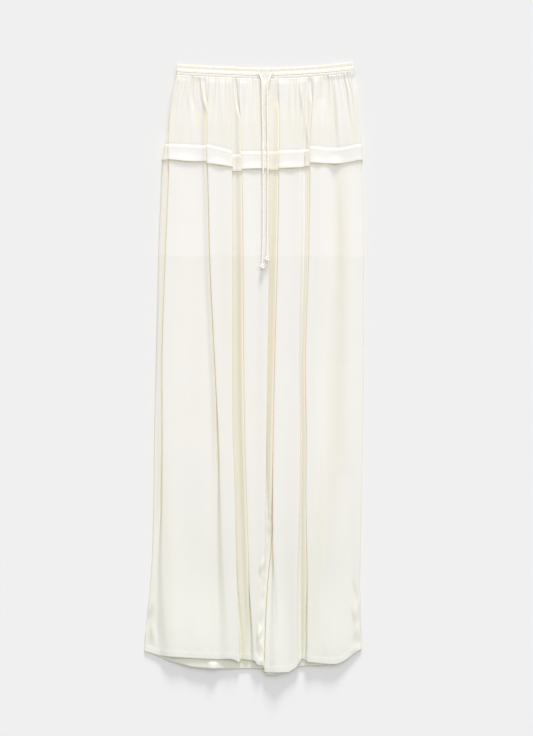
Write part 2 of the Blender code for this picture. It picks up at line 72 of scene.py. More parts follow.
LOWEST = 0.04            # least height of a shell over the ground
STATION_STEP = 3.0
STATIONS = np.arange(12.0, 1146.0, STATION_STEP)

# Visible edges of the folds (x) at some distances down the garment.
PLACE_COLUMNS = (
    "down", "side_left", "outer_pleat", "inner_pleat", "left_box_a", "left_box_b",
    "middle_box_a", "centre", "middle_box_b", "right_box_a", "right_box_b", "side_right")
PLACES = (
    (31, -142.4, -143.5, -82.4, -41.3, -24.1, 29.0, 55, 47.5, 96.5, 112.6, 185.2),
    (51, -147.2, -148.3, -83.3, -41.3, -24.0, 29.0, 55, 47.5, 94.6, 111.5, 190.3),
    (78, -151.2, -152.0, -84.8, -40.8, -24.0, 29.1, 55, 47.5, 92.8, 109.6, 193.6),
    (115, -155.3, -155.8, -86.1, -40.1, -23.6, 29.3, 55, 47.5, 90.9, 107.0, 196.6),
    (158, -163.4, -157.2, -86.1, -39.5, -23.2, 29.5, 55, 47.5, 89.1, 104.4, 200.6),
    (191, -168.4, -156.4, -85.0, -38.9, -21.9, 29.1, 55, 47.1, 89.1, 104.2, 200.8),
    (254, -171.6, -158.6, -83.3, -38.8, -20.8, 29.3, 54, 46.0, 89.1, 103.3, 202.9),
    (347, -175.3, -162.5, -81.3, -38.4, -19.7, 29.3, 52, 44.3, 88.2, 102.0, 204.7),
    (570, -180.7, -169.0, -70.9, -38.4, -18.2, 26.7, 46.5, 38.6, 85.4, 95.6, 204.7),
    (683, -183.2, -168.6, -65.4, -37.6, -16.6, 24.9, 43.0, 36.4, 87.3, 97.4, 202.9),
    (796, -184.4, -169.0, -61.7, -33.9, -13.6, 23.4, 39.5, 35.4, 86.3, 96.8, 201.0),
    (889, -186.4, -169.7, -58.0, -31.7, -10.6, 21.6, 33.5, 35.6, 83.7, 98.1, 199.2),
    (965, -190.8, -168.0, -53.4, -29.7, -8.2, 16.0, 26.4, 38.6, 81.5, 99.3, 197.8),
    (1053, -199.7, -161.0, -46.9, -25.4, -2.5, 10.5, 21.9, 41.9, 80.8, 98.8, 199.0),
    (1113, -203.4, -155.0, -44.1, -25.1, 1.2, 8.6, 20.1, 43.8, 81.1, 98.9, 202.1),
)

# How far the cloth runs on under each visible edge; below zero the fold has opened.
LAP_COLUMNS = (
    "down", "outer_pleat", "inner_pleat", "left_box_a", "left_box_b",
    "middle_box_a", "middle_box_b", "right_box_a", "right_box_b")
LAPS = (
    (31, 6, -8, 8, -8, 8, -8, -4, -6),
    (62, 10, -3, 12, -6, 12, -6, -5, -1),
    (90, 13, 8, 14, 0, 13, 1, -6, 8),
    (125, 13, 15, 14, 10, 13, 11, -6, 14),
    (200, 14, 17, 15, 15, 13, 16, -5, 17),
    (347, 14, 18, 15, 15, 13, 16, -5, 17),
    (570, 14, 10, 12, 15, 11, 15, -2.5, 15),
    (683, 8, 2, 11, 14, 6, 12, -1, 14),
    (796, 1, -4, 9, 12, 1, 8, -2, 12),
    (889, -5, -9, 6, 9, -4, 2, -2, 8),
    (927, -8, -11, 5, 7, -6, -1, -3, 7),
    (965, -10, -13, 4, 5, -7, -5, -4, 5),
    (1005, -13, -15, 2, 2, -8, -9, -5, 3),
    (1053, -16, -18, 0, -2, -9, -13, -6, 0),
    (1113, -20, -20, -2, -7, -10, -16, -7, -4),
)

OPEN_LAP = -5.0          # at this lap a fold has opened
DOUBLED_LAP = 1.0        # from this lap on it is doubled
OPENING_RUN = 8.0        # width over which a fold eases into a soft slope
OPENED_SHADE = 0.6        # painted shade, as a share of a recess's, on the low side of an opened fold

# Height of the cloth's low level, and how far its folds rise over that.
LEVEL_COLUMNS = ("down", "low", "rise")
LEVELS = (
    (31, 3.9, 3.0),
    (58, 4.5, 3.4),
    (84, 5.1, 3.7),
    (118, 6.1, 4.2),
    (158, 6.6, 4.6),
    (215, 5.0, 6.2),
    (420, 3.2, 6.7),
    (570, 3.1, 6.5),
    (889, 2.9, 6.0),
    (1000, 2.7, 5.6),
    (1113, 2.3, 4.8),
)

# Stretches of the front from left to right: name, level at its start and at its end, how
# far its middle sags, and how far across it takes to sink to a low end.
STRETCHES = (
    ("side_strip", "low", "low", 0.0, 0.0),
    ("outer_panel", "high", "low", 0.0, 40.0),
    ("inner_panel", "high", "high", 0.8, 0.0),
    ("left_recess", "low", "low", 0.0, 0.0),
    ("middle_panel", "high", "high", 1.8, 0.0),
    ("centre_left", "low", "low", 0.0, 0.0),
    ("centre_right", "low", "low", 0.0, 0.0),
    ("right_panel", "high", "high", 1.2, 0.0),
    ("right_recess", "low", "low", 0.0, 0.0),
    ("last_panel", "high", "low", 0.0, 26.0),
)
LEFT_STRETCHES = 6       # so many stretches belong to the left leg
SAG_FROM = 20.0          # a stretch starts to sag at this width, and sags in full at twice it
RECESSES = ("left_recess", "centre_left", "centre_right", "right_recess")
RECESS_EDGE = 6.0
RECESS_LIFT = 1.8        # how far the cloth between two pleats swells up again
# How far the cloth under a fold's edge swells up, as a share of the fold's rise.
UNDER_LIFTS = {"outer_pleat": 0.5, "inner_pleat": 0.6, "left_box_b": 0.58,
               "middle_box_b": 0.42, "right_box_b": 0.36}
UNDER_WIDTH = 5.0
FAR_SIDE_SHADE = 0.25     # painted shade that dims the turned edges that face the light
# Painted shade on the inseam's rolled edges, where the gap between the legs lies in shadow.
INSEAM_SHADE = 1.8
# How much painted shade, in a recess's colour, shows between two pleats, by distance down
# the garment, and how much more of it lies towards the right.
RECESS_COLUMNS = ("down", "left_recess", "centre_left", "centre_right", "right_recess",
                  "to_right")
RECESS_SHADE = (
    (20, 0.1, 0.1, 0.1, 0.0, 0.4),
    (80, 0.3, 0.35, 0.35, 0.05, 0.4),
    (160, 0.35, 0.5, 0.5, 0.03, 0.5),
    (230, 0.42, 0.7, 0.7, 0.08, 0.7),
    (350, 0.7, 1.0, 1.0, 0.5, 0.7),
    (480, 0.95, 1.1, 1.1, 0.85, 0.5),
    (700, 0.92, 1.0, 0.95, 0.9, 0.2),
    (800, 0.88, 0.65, 0.6, 0.86, 0.0),
    (870, 0.75, 0.3, 0.3, 0.74, -0.1),
    (940, 0.68, 0.05, 0.05, 0.7, -0.2),
    (1130, 0.65, 0.0, 0.0, 0.7, -0.35),
)

CREASE_WIDTH = 2.6
CREASE_SHADE = 2.0        # painted warm shade in the creases under the folds' edges; 1 is a recess's painted shade

# Where the yoke seam, the hip band's lower edge and the hem cross each stretch (down),
# at its start, middle and end.
LINE_COLUMNS = ("name", "seam", "band", "hem")
LINES = (
    ("side_strip", (151.5, 151.6, 151.7), (180.6, 180.4, 180.2), (1089, 1092, 1096)),
    ("outer_panel", (151.7, 153.0, 156.0), (180.0, 183.3, 182.8), (1098, 1101, 1103)),
    ("inner_panel", (152.8, 157.5, 163.5), (187.2, 189.8, 193.3), (1102, 1104, 1109)),
    ("left_recess", (169.5, 170.9, 169.0), (201.5, 201.5, 200.5), (1103, 1104, 1105)),
    ("middle_panel", (165.0, 165.0, 165.2), (197.8, 196.7, 197.0), (1106, 1109, 1113)),
    ("centre_left", (165.4, 165.4, 165.0), (199.6, 199.6, 199.0), (1115, 1117, 1119)),
    ("centre_right", (165.0, 164.5, 164.2), (199.0, 198.0, 197.5), (1126, 1127, 1127)),
    ("right_panel", (163.7, 163.2, 162.5), (196.1, 195.4, 194.8), (1127, 1127, 1118)),
    ("right_recess", (161.7, 161.0, 160.0), (193.0, 192.0, 191.0), (1103, 1103, 1104)),
    ("last_panel", (155.2, 158.6, 151.3), (185.7, 187.6, 180.7), (1108, 1112, 1086)),
)

# Ridges (and troughs, below zero) from one point of the legs to another: down and x of its
# start, down and x of its end, half its width, and its height.
LEG_RIDGES = (
    (190, 178, 760, 172, 16, 4.2),
    (300, -122, 900, -118, 24, 0.8),
    (560, 62, 1010, 60, 15, 0.8),
    (560, 168, 1098, 142, 20, 2.8),
    (175, 155, 420, 152, 8, -1.5),
    (200, 160, 330, 165, 5, 0.6),
    (900, 38.6, 1085, 42.5, 2.4, -1.0),
    (930, 43.5, 1095, 48.0, 3.0, 0.8),
    (230, -140, 700, -146, 9, -0.2),
    (420, -100, 1000, -92, 10, 0.5),
    (820, -76, 1104, -70, 7, 0.6),
    (180, 122, 480, 126, 8, 0.4),
    (640, 122, 1090, 118, 11, 0.4),
    (760, 178, 1090, 184, 7, -0.6),
    (880, -132, 1098, -128, 9, 0.3),
    (260, 8, 700, 2, 7, -0.4),
)

# Soft stripes of painted shade, laid out as the ridges are; the last value is how deep the
# painted shade is.
LEG_SHADES = (
    (150, 163, 480, 160, 12, 0.50),
    (380, 160, 860, 150, 15, 0.36),
    (700, 128, 1120, 112, 14, 0.30),
    (560, -75, 1125, -54, 12, 0.28),
    (620, -170, 1125, -158, 13, 0.30),
    (240, -60, 620, -56, 12, 0.12),
    (600, 70, 1130, 70, 12, 0.15),
    (420, 0, 1100, -4, 12, 0.16),
    (1015, 5.0, 1112, 9.0, 2.0, 0.8),
    (895, 12.5, 1000, 10.0, 1.8, 0.6),
    (950, -184, 1092, -190, 3.5, 0.5),
    (950, 185, 1088, 190, 3.5, 0.5),
)

# Short soft hollows and swellings: down and x of its middle, half its length, half its
# width, its slant (x per down) and its height.
LEG_LENSES = (
    (985, 189, 18, 3.0, 0.18, -1.8),
    (1004, 194, 14, 2.6, -0.12, 1.6),
    (1018, 187, 16, 3.2, 0.22, 2.0),
    (1034, 193, 12, 2.8, 0.05, -1.9),
    (1052, 189, 16, 3.0, -0.15, 2.0),
    (1070, 194, 11, 2.8, 0.12, -1.6),
    (1084, 186, 9, 3.0, -0.2, 1.2),
    (1004, -188, 18, 3.6, -0.15, 2.0),
    (1030, -193, 16, 3.2, -0.25, -1.8),
    (1052, -186, 18, 3.4, 0.12, 1.9),
    (1074, -192, 12, 3.2, -0.2, -1.6),
    (1050, -178, 22, 3.4, -0.05, -1.2),
    (929, 15.5, 8, 2.8, -0.3, 2.2),
    (951, 12.0, 7, 2.6, 0.2, -1.2),
    (1038, 13.0, 8, 3.0, 0.25, -1.4),
    (1058, 10.5, 8, 3.2, -0.2, 2.6),
    (1078, 14.0, 8, 3.0, 0.3, 1.8),
    (1092, 9.0, 8, 3.0, 0.15, -1.6),
    (1106, 14.0, 6, 3.0, -0.1, 1.8),
)

# Main ridges and troughs of the yoke, and then the painted shade of its soft creases, both
# laid out as those of the legs are.
YOKE_RIDGES = (
    (20, -98.7, 96, -86.0, 2.6, 2.0),
    (20, 82.6, 158, 103.9, 3.0, 1.6),
    (20, 147.4, 172, 152.9, 3.4, -1.2),
    (20, 154.0, 172, 160.5, 3.2, 0.8),
    (40, 168.0, 120, 178.8, 2.6, -0.7),
    (20, -128.0, 150, -133.0, 3.6, 0.8),
    (20, -112.0, 110, -116.0, 2.4, -0.7),
    (20, -63.0, 140, -66.0, 3.0, 0.6),
    (20, 66.0, 120, 68.5, 2.8, 0.7),
    (20, 74.0, 90, 75.0, 2.0, -0.6),
    (20, 128.0, 130, 132.0, 2.6, 0.7),
    (20, -4.0, 120, -6.0, 3.0, 0.5),
)
YOKE_SHADES = (
    (18, -95.5, 104, -83.5, 2.0, 0.9),
    (18, -103.5, 80, -96.0, 2.2, 0.6),
    (18, 86.0, 160, 106.5, 2.2, 0.8),
    (18, 147.0, 172, 152.5, 4.0, 0.6),
    (30, 167.0, 125, 179.0, 3.2, 0.5),
    (18, -120.0, 150, -126.0, 3.0, 0.35),
    (18, 41.0, 150, 42.0, 4.0, 0.5),
    (18, 66.5, 130, 69.0, 2.4, 0.4),
    (18, -36.5, 165, -35.0, 2.4, 0.4),
    (18, -31.0, 165, -29.5, 1.8, 0.3),
)
# Strength of the yoke's small gathers, by distance down.
GATHERS = ((20, 1.1), (34, 1.05), (48, 0.95), (70, 0.85), (100, 0.7), (135, 0.48),
           (155, 0.25))
GATHER_TOP = 24.0
GATHER_STEP = 6.0
GATHER_SPACING = (0.62, 1.35)            # from one gather to the next, in steps
GATHER_LENGTH = (50.0, 230.0)
GATHER_HEIGHT = (0.9, 2.6)
GATHER_WIDTH = (1.3, 2.6)
GATHER_DRIFT = (-0.045, 0.045)
GATHER_SEED = 7

WAIST_COLUMNS = ("x", "down")
WAIST = ((-142, 24.8), (-126, 25.9), (-62, 29.2), (22, 32.0), (105, 28.6), (184, 21.1))
CASING_HEIGHT = 14.4
CASING_BASE = 3.1
CASING_ENDS = (-141.0, 184.2)
CASING_BACK_TOP = 21.1
CHANNELS = ((3.9, 3.2, 2.5), (10.9, 3.2, 3.0))     # middle, half width and height
CHANNEL_SEAM = (CHANNELS[0][0] + CHANNELS[1][0]) / 2.0
CHANNEL_BREAK = (7.0, 35.8)      # in x, where the drawstring comes out

# Where the band and the hems stand off what is under them: x, half width and height.
BAND_LIFTS = ((150.0, 9.0, 3.0), (-125.0, 22.0, 1.3), (0.0, 14.0, 1.2), (68.0, 13.0, 1.4),
              (-62.0, 12.0, 1.2), (118.0, 8.0, 1.0))
BAND_LEVEL = 1.35        # how far the band lies over the cloth under it
HEM_LIFTS = ((-98.0, 60.0, 9.5), (34.0, 28.0, 10.0), (140.0, 42.0, 8.5))
HEM_LIFT_LENGTH = 220.0
BACK_HEM_LIFT = 0.9      # the back's hem lifts by this share of the front's
# Painted shadow that the front's hem casts on the back's hem.
BACK_HEM_SHADE = 0.4
THREAD_GAP = 0.35        # between two stitches, as a share of a stitch
STITCH_DEPTH = 0.05      # how deep the band's stitches sink in, and then the hems'
HEM_STITCH_DEPTH = 0.12

BACK_POINTS = 61         # across a back piece
YOKE_BACK_POINTS = 91
BACK_SEAM = 160.0
BACK_BAND_END = 187.0
BACK_FALL = 11.0         # how far down the back legs take to sink from the band's level
# Hem of each back leg: share of its width, and distance down.
BACK_HEM_LEFT = ((0.0, 1088), (0.2, 1106), (0.4, 1117), (0.55, 1120), (0.75, 1121),
                 (1.0, 1120))
BACK_HEM_RIGHT = ((0.0, 1131), (0.14, 1132.2), (0.22, 1121), (0.4, 1116), (0.78, 1111),
                  (1.0, 1083))

BACK_HEM_TURN = (-86.0, -63.0, 3.6)      # where the back hem turns up, and how high

CORD_STRETCH = 4         # the cords lie on this stretch
# Strength of the gathers that hold the cord off the panel, by distance down.
CORD_GATHERS = ((20, 1.25), (34, 1.15), (48, 0.8), (70, 0.45), (100, 0.2), (135, 0.05),
                (155, 0.0))
KNOT = (4.4, 6.4, 3.3)   # half its width, length and height
KNOT_CORD = 1.85         # radius of the cord in the knot
CORD_FLATNESS = 0.82
CORD_ROUTES = {          # x and distance down
    "left": ((7.8, 21.4), (9.6, 21.6), (12.2, 23.4), (14.4, 28), (15.6, 36), (16.1, 48),
             (16.5, 78), (17.5, 118), (17.9, 145), (18.0, 162), (18.0, 181), (18.1, 199),
             (18.1, 217), (18.2, 254), (17.9, 328), (17.0, 358), (16.2, 371)),
    "right": ((35.0, 21.4), (33.2, 21.8), (31.2, 24.6), (29.4, 31), (27.4, 40), (25.9, 54),
              (25.6, 78), (26.2, 118), (26.7, 145), (26.9, 162), (26.8, 181), (26.7, 199),
              (26.7, 217), (26.5, 254), (26.0, 319), (25.5, 344), (24.8, 356.5)),
}

IMAGE_SPAN = 1.3616       # metres of floor from the image's top to its bottom
IMAGE_MIDDLE = (0.023, 0.0011)
LENS = 150.0
SENSOR = 36.0
STUDIO_LIGHT = (0.97, 0.99, 1.08)
KEY_LIGHT = ((0.08, 0.95, 0.25), 11.0, 2.95)       # direction, spread and strength
FILL_LIGHT = ((0.2, 0.4, 1.0), 60.0, 1.07)
WORLD_STRENGTH = 0.539
FLOOR_SIZE = 60.0
# Tint of the legs by distance down: over the lining, single from the lining's end on, and
# then a painted shade that makes the cloth greyer low down.
LINING_AND_SHADE_TINTS = ((354.0, (1.0, 1.0, 1.0, 1.0)), (362.0, (0.965, 0.965, 0.955, 1.0)),
                (700.0, (0.965, 0.965, 0.955, 1.0)), (1060.0, (0.885, 0.907, 0.882, 1.0)))


def length_setting(name, description, value, precision=4):
    return FloatProperty(name=name, description=description, default=value,
                         precision=precision, unit="LENGTH")


def colour_setting(name, description, value):
    return FloatVectorProperty(name=name, description=description, subtype="COLOR", size=3,
                               default=value, min=0.0, max=1.0)


class TrouserSizes(bpy.types.PropertyGroup):
    """Sizes that can be changed without touching the tables."""

    cloth: length_setting("Cloth", "Thickness of the shells", 0.0006, 5)
    hem_depth: length_setting("Hem depth", "From the hem to its stitching", 0.012)
    hem_cloth: length_setting("Hem thickness", "Doubled cloth at a hem", 0.001, 5)
    stitch: length_setting("Stitch", "Length of one stitch", 0.0024)
    thread: length_setting("Thread", "Diameter of the sewing thread", 0.00032, 5)
    cord: length_setting("Cord", "Diameter of the drawstring", 0.0036)
    band_stitch: length_setting("Band stitching", "Below the band's top", 0.008)


class TrouserColours(bpy.types.PropertyGroup):
    """Colours of the cloth, the thread and the floor, and the painted shade of the cloth's
    recesses and creases.
    """

    satin: colour_setting("Satin", "Yoke, casings and drawstring", (0.85, 0.812, 0.708))
    crepe: colour_setting("Crepe", "Hip band and legs", (0.88, 0.84, 0.735))
    cord: colour_setting("Cord", "Drawstring", (0.93, 0.88, 0.76))
    # Painted shade: a darker, yellower colour for the cloth between two pleats, where shade
    # falls.
    recess_shade: colour_setting("Recess shade", "Cloth between two pleats", (0.815, 0.755, 0.555))
    # Painted warm shade: a lighter, yellower colour for the cloth in the creases under the
    # folds' edges, standing in for light bounced into their shadow.
    crease_shade: colour_setting("Crease shade", "Cloth deep in a crease", (1.0, 0.90, 0.62))
    thread: colour_setting("Thread", "Sewing thread", (0.84, 0.80, 0.69))
    floor: colour_setting("Floor", "The pale floor", (0.825, 0.808, 0.741))


def smoothstep(amount):
    amount = np.clip(amount, 0.0, 1.0)
    return amount * amount * (3.0 - 2.0 * amount)


def between(table, at, place_in_row=1):
    """A column of a table by its place, on straight lines between its rows."""
    return np.interp(at, [row[0] for row in table], [row[place_in_row] for row in table])


def column(table, names, name, at):
    """A named column of a table, on a smooth curve through its rows."""
    known = np.array([row[0] for row in table], float)
    values = np.array([row[names.index(name)] for row in table], float)
    steps = np.diff(known)
    slopes = np.diff(values) / steps
    before, after = slopes[:-1], slopes[1:]
    same = before * after > 0.0
    total = np.where(same, before + after, 1.0)
    tangents = np.concatenate((slopes[:1], np.where(same, 2.0 * before * after / total, 0.0),
                               slopes[-1:]))
    at = np.clip(np.asarray(at, float), known[0], known[-1])
    index = np.clip(np.searchsorted(known, at, side="right") - 1, 0, len(steps) - 1)
    step = steps[index]
    share = (at - known[index]) / step
    rest = 1.0 - share
    return ((1.0 + 2.0 * share) * rest ** 2 * values[index]
            + share * rest ** 2 * step * tangents[index]
            + share ** 2 * (3.0 - 2.0 * share) * values[index + 1]
            - share ** 2 * rest * step * tangents[index + 1])


def place(name, down):
    return column(PLACES, PLACE_COLUMNS, name, down)


def waist_line(x):
    return column(WAIST, WAIST_COLUMNS, "down", x)


def leg_drop(down):
    """0 above the crotch, where the fronts meet; 1 below, where each leg is a tube."""
    start, end = CROTCH_DOWN
    return smoothstep((down - start) / (end - start))


def centre_gap(down):
    return (GAP + (LEG_GAP - GAP) * leg_drop(down)) / 2.0


def line_values(index, share):
    """Where the seam, the band's lower edge and the hem cross a point of a stretch."""
    found = []
    for name in ("seam", "band", "hem"):
        start, middle, end = LINES[index][LINE_COLUMNS.index(name)]
        curve = ((0.0, start), (0.5, middle), (1.0, end))
        found.append(float(column(curve, ("share", "down"), "down", share)))
    return found


def fold_ends(name, down, rise, rising):
    """Low and high end of a fold, in x."""
    lap = column(LAPS, LAP_COLUMNS, name, down)
    half = rise / 2.0
    away = 1.0 if rising else -1.0
    edge = place(name, down) + away * CLOTH / 2.0
    return (edge + away * (lap - half * LOW_TURN),
            edge + away * half * (1.0 - LOW_TURN))


def fold_turn(low_x, high_x, low_z, rise, rising):
    """A turn up, a run and a turn over, from low to high: x and z by station and step."""
    away = 1.0 if rising else -1.0
    half = rise / 2.0
    run = (high_x - low_x) * away
    sweep = np.where(run <= 0.0, math.pi, 2.0 * np.arctan2(half, np.maximum(run, 1e-9)))
    angles = sweep[:, None] * np.linspace(0.0, 1.0, TURN_STEPS + 1)[None, :]
    low_radius = (half * LOW_TURN)[:, None]
    high_radius = (half * (1.0 - LOW_TURN))[:, None]
    low_part = (low_x[:, None] + away * low_radius * np.sin(angles),
                low_z[:, None] + low_radius * (1.0 - np.cos(angles)))
    high_part = (high_x[:, None] - away * high_radius * np.sin(angles),
                 (low_z + rise)[:, None] - high_radius * (1.0 - np.cos(angles)))
    return [np.hstack((low, high[:, ::-1])) for low, high in zip(low_part, high_part)]


class FoldedSheet:
    """The front's folded line at every station down the garment.

    `x`, `z`, `normal_x` and `normal_z` have a row for each station and a column for each
    point across. `lines` holds the seam, band and hem of each column and `recess_shade` the
    painted shade of each point, by how deep between two pleats or in the creases it lies.
    """

    fold_names = {1: "outer_pleat", 2: "inner_pleat", 3: "left_box_a", 4: "left_box_b",
                  5: "middle_box_a", 7: "middle_box_b", 8: "right_box_a", 9: "right_box_b"}

    def __init__(self, first, last, step):
        self.low = column(LEVELS, LEVEL_COLUMNS, "low", STATIONS)
        self.rise = column(LEVELS, LEVEL_COLUMNS, "rise", STATIONS)
        self.whole = first == 0 and last == len(STRETCHES) - 1
        self.parts = []
        for index in range(first, last + 1):
            self.add_stretch(index, step)
            if index < last and STRETCHES[index][0] != "centre_left":
                self.add_fold(index)
        self.x = np.hstack([part[0] for part in self.parts])
        self.z = np.hstack([part[1] for part in self.parts])
        self.lines = np.vstack([part[2] for part in self.parts])
        self.recess_shade = np.hstack([part[3] for part in self.parts])
        along_x = np.gradient(self.x, axis=1)
        along_z = np.gradient(self.z, axis=1)
        length = np.hypot(along_x, along_z) + 1e-9
        self.normal_x = -along_z / length
        self.normal_z = along_x / length

    def ends(self, index):
        """Start and end of a stretch in x at every station, None at an edge or centre."""
        found = []
        for side in (index, index + 1):
            name = self.fold_names.get(side)
            if name is None:
                found.append(None)
                continue
            rising = STRETCHES[side][1] == "high"
            low_x, high_x = fold_ends(name, STATIONS, self.rise, rising)
            level = STRETCHES[side][1] if side == index else STRETCHES[side - 1][2]
            found.append(high_x if level == "high" else low_x)
        return found

    def add(self, x, z, lines, recess_shade):
        self.parts.append((x, z, np.array(lines), recess_shade + np.zeros_like(x)))

    def doubled(self, index):
        """1 where the fold at the start of a stretch is doubled, 0 where it has opened."""
        lap = column(LAPS, LAP_COLUMNS, self.fold_names[index], STATIONS)
        return smoothstep((lap - OPEN_LAP) / (DOUBLED_LAP - OPEN_LAP))[:, None]

    def add_roll(self, index, edge, width, drop, inward, tone):
        """Rounded edge of the cloth, from its cut edge in to the low level, with `tone` as its
        painted shade.
        """
        angles = np.linspace(0.0, ROLL_TURN, 5)[None, :] * math.pi / 2.0
        end_z = (self.low * (1.0 - drop))[:, None]
        start_x = (edge + inward * CLOTH / 2.0 * drop)[:, None]
        x = start_x + inward * width * (1.0 - np.cos(angles))
        z = end_z + (self.low[:, None] - end_z) * np.sin(angles)
        at_start = inward > 0.0
        if not at_start:
            x, z = x[:, ::-1], z[:, ::-1]
        self.add(x, z, [line_values(index, 0.0 if at_start else 1.0)] * 5, tone)

    def add_stretch(self, index, step):
        name, start, end, sag, fall = STRETCHES[index]
        x_start, x_end = self.ends(index)
        one = np.ones_like(STATIONS)
        centre = place("centre", STATIONS)
        drop = 0.0 * one if self.whole else INSEAM_DROP * leg_drop(STATIONS)
        apart = centre_gap(STATIONS)
        if name == "side_strip":
            edge = place("side_left", STATIONS)
            # The left side's rolled edge gets the painted warm shade of a crease.
            self.add_roll(index, edge, INSEAM_ROLL, one, 1.0, CREASE_SHADE)
            x_start = edge + CLOTH / 2.0 + INSEAM_ROLL
        if name == "centre_right":
            x_start = centre
            if not self.whole:
                # The inseam's roll carries its painted shade.
                self.add_roll(index, centre + apart, INSEAM_ROLL, drop, 1.0, INSEAM_SHADE)
                x_start = centre + apart + CLOTH / 2.0 * drop + INSEAM_ROLL
        if name == "centre_left":
            x_end = centre if self.whole else (
                centre - apart - CLOTH / 2.0 * drop - INSEAM_ROLL)
        if name == "last_panel":
            edge = place("side_right", STATIONS)
            x_end = edge - CLOTH / 2.0 - SIDE_ROLL
        lap = one * 0.0
        if start != end:
            lap = np.maximum(0.0, column(LAPS, LAP_COLUMNS, self.fold_names[index], STATIONS))
        width = float(np.median(x_end - x_start))
        steps = max(2, int(round(width / step)))
        shares = np.linspace(0.0, 1.0, steps + 1)
        if self.whole and name == "centre_right":
            shares = shares[1:]
        x = x_start[:, None] + (x_end - x_start)[:, None] * shares[None, :]
        height = {"low": self.low[:, None], "high": (self.low + self.rise)[:, None]}
        z = height[start] + 0.0 * x
        if start != end:
            sunk = smoothstep((x - x_start[:, None] - lap[:, None]) / fall)
            z = z + (height[end] - height[start]) * sunk
        wide = smoothstep((x_end - x_start - SAG_FROM) / SAG_FROM)[:, None]
        z = z - sag * wide * np.sin(math.pi * shares)[None, :] ** 2
        from_start = smoothstep((x - x_start[:, None]) / RECESS_EDGE)
        from_end = smoothstep((x_end[:, None] - x) / RECESS_EDGE)
        # Painted shade of each point: between two pleats, and in the crease under the next
        # fold's edge.
        tone = 0.0 * x
        if name in RECESSES:
            if self.whole and name == "centre_left":
                from_end = 1.0
            if self.whole and name == "centre_right":
                from_start = 1.0
            z = z + RECESS_LIFT * from_start * from_end
            tone = tone + column(RECESS_SHADE, RECESS_COLUMNS, name, STATIONS)[:, None]
            if name in ("left_recess", "right_recess"):
                towards = column(RECESS_SHADE, RECESS_COLUMNS, "to_right", STATIONS)
                tone = tone * (1.0 + towards[:, None] * (2.0 * shares - 1.0)[None, :])
            tone = np.minimum(tone, 1.0)
        over = index + 2 if name == "centre_left" else index + 1
        if end == "low" and over in self.fold_names:
            edge = place(self.fold_names[over], STATIONS)[:, None]
            # Painted warm shade in the crease under the next fold's edge, where its shadow
            # falls.
            crease_shade = np.exp(-(np.maximum(edge - x, 0.0) / CREASE_WIDTH) ** 2)
            tone = np.maximum(tone, CREASE_SHADE * crease_shade * self.doubled(over))
            swell = np.exp(-((x - edge + CREASE_WIDTH) / UNDER_WIDTH) ** 2) * smoothstep(
                (x_end[:, None] - x) / RECESS_EDGE) * self.doubled(over)
            z = z + UNDER_LIFTS[self.fold_names[over]] * self.rise[:, None] * swell
        self.add(x, z, [line_values(index, share) for share in shares], tone)
        if name == "centre_left" and not self.whole:
            # The inseam's roll carries its painted shade.
            self.add_roll(index, centre - apart, INSEAM_ROLL, drop, -1.0, INSEAM_SHADE)
        if name == "last_panel":
            # Painted shade that dims the rolled right edge, which faces the light.
            self.add_roll(index, edge, SIDE_ROLL, one, -1.0, FAR_SIDE_SHADE)

    def add_fold(self, index):
        """The turn between a stretch and the next one."""
        rising = STRETCHES[index + 1][1] == "high"
        low_x, high_x = fold_ends(self.fold_names[index + 1], STATIONS, self.rise, rising)
        x, z = fold_turn(low_x, high_x, self.low, self.rise, rising)
        run = (high_x - low_x) * (1.0 if rising else -1.0)
        opened = smoothstep(run / OPENING_RUN)[:, None]
        up = 1.0 - smoothstep(np.linspace(-0.1, 1.2, x.shape[1]))[None, :]
        # On a rising fold, the painted warm shade of the crease under its edge; on a falling
        # one, painted shade that dims its edge facing the light and, once it has opened, a
        # recess's painted shade.
        if rising:
            recess_shade = CREASE_SHADE * self.doubled(index + 1) * up
        else:
            deep = column(RECESS_SHADE, RECESS_COLUMNS, STRETCHES[index + 1][0], STATIONS)
            recess_shade = (FAR_SIDE_SHADE * (1.0 - opened)
                      + OPENED_SHADE * deep[:, None] * opened * up)
        shares = np.linspace(0.0, 1.0, x.shape[1])[None, :]
        x = x + opened * (low_x[:, None] + (high_x - low_x)[:, None] * shares - x)
        z = z + opened * (self.low[:, None] + self.rise[:, None] * smoothstep(shares) - z)
        if not rising:
            x, z = x[:, ::-1], z[:, ::-1]
        before = np.array(line_values(index, 1.0))
        after = np.array(line_values(index + 1, 0.0))
        shares = np.linspace(0.0, 1.0, x.shape[1])[:, None]
        lines = before + (after - before) * shares
        self.add(x[:, 1:-1], z[:, 1:-1], lines[1:-1], recess_shade[:, 1:-1])

    def read(self, stack, downs):
        """Values of one stack at each column's own distances (rows by columns)."""
        where = np.clip((downs - STATIONS[0]) / STATION_STEP, 0.0, len(STATIONS) - 1.001)
        index = where.astype(int)
        share = where - index
        across = np.arange(stack.shape[1])[None, :]
        return stack[index, across] * (1.0 - share) + stack[index + 1, across] * share

    def at(self, downs):
        return [self.read(stack, downs) for stack in (self.x, self.z, self.normal_x,
                                                      self.normal_z)]

    def line(self, where, away, lift):
        """Points of a line across the sheet, so far out from it and so much higher."""
        x, z, normal_x, normal_z = self.at(where)
        return to_world(x + normal_x * away, where, z + lift + normal_z * away)[0]


def ridge_relief(rows, x, down):
    """Height that long ridges and troughs add."""
    total = np.zeros_like(x)
    for down_start, x_start, down_end, x_end, half_width, height in rows:
        share = (down - down_start) / (down_end - down_start)
        offset = (x - x_start - (x_end - x_start) * share) / half_width
        along = np.sin(math.pi * np.clip(share, 0.0, 1.0)) ** 0.8
        total += height * np.exp(-offset ** 2) * along
    return total


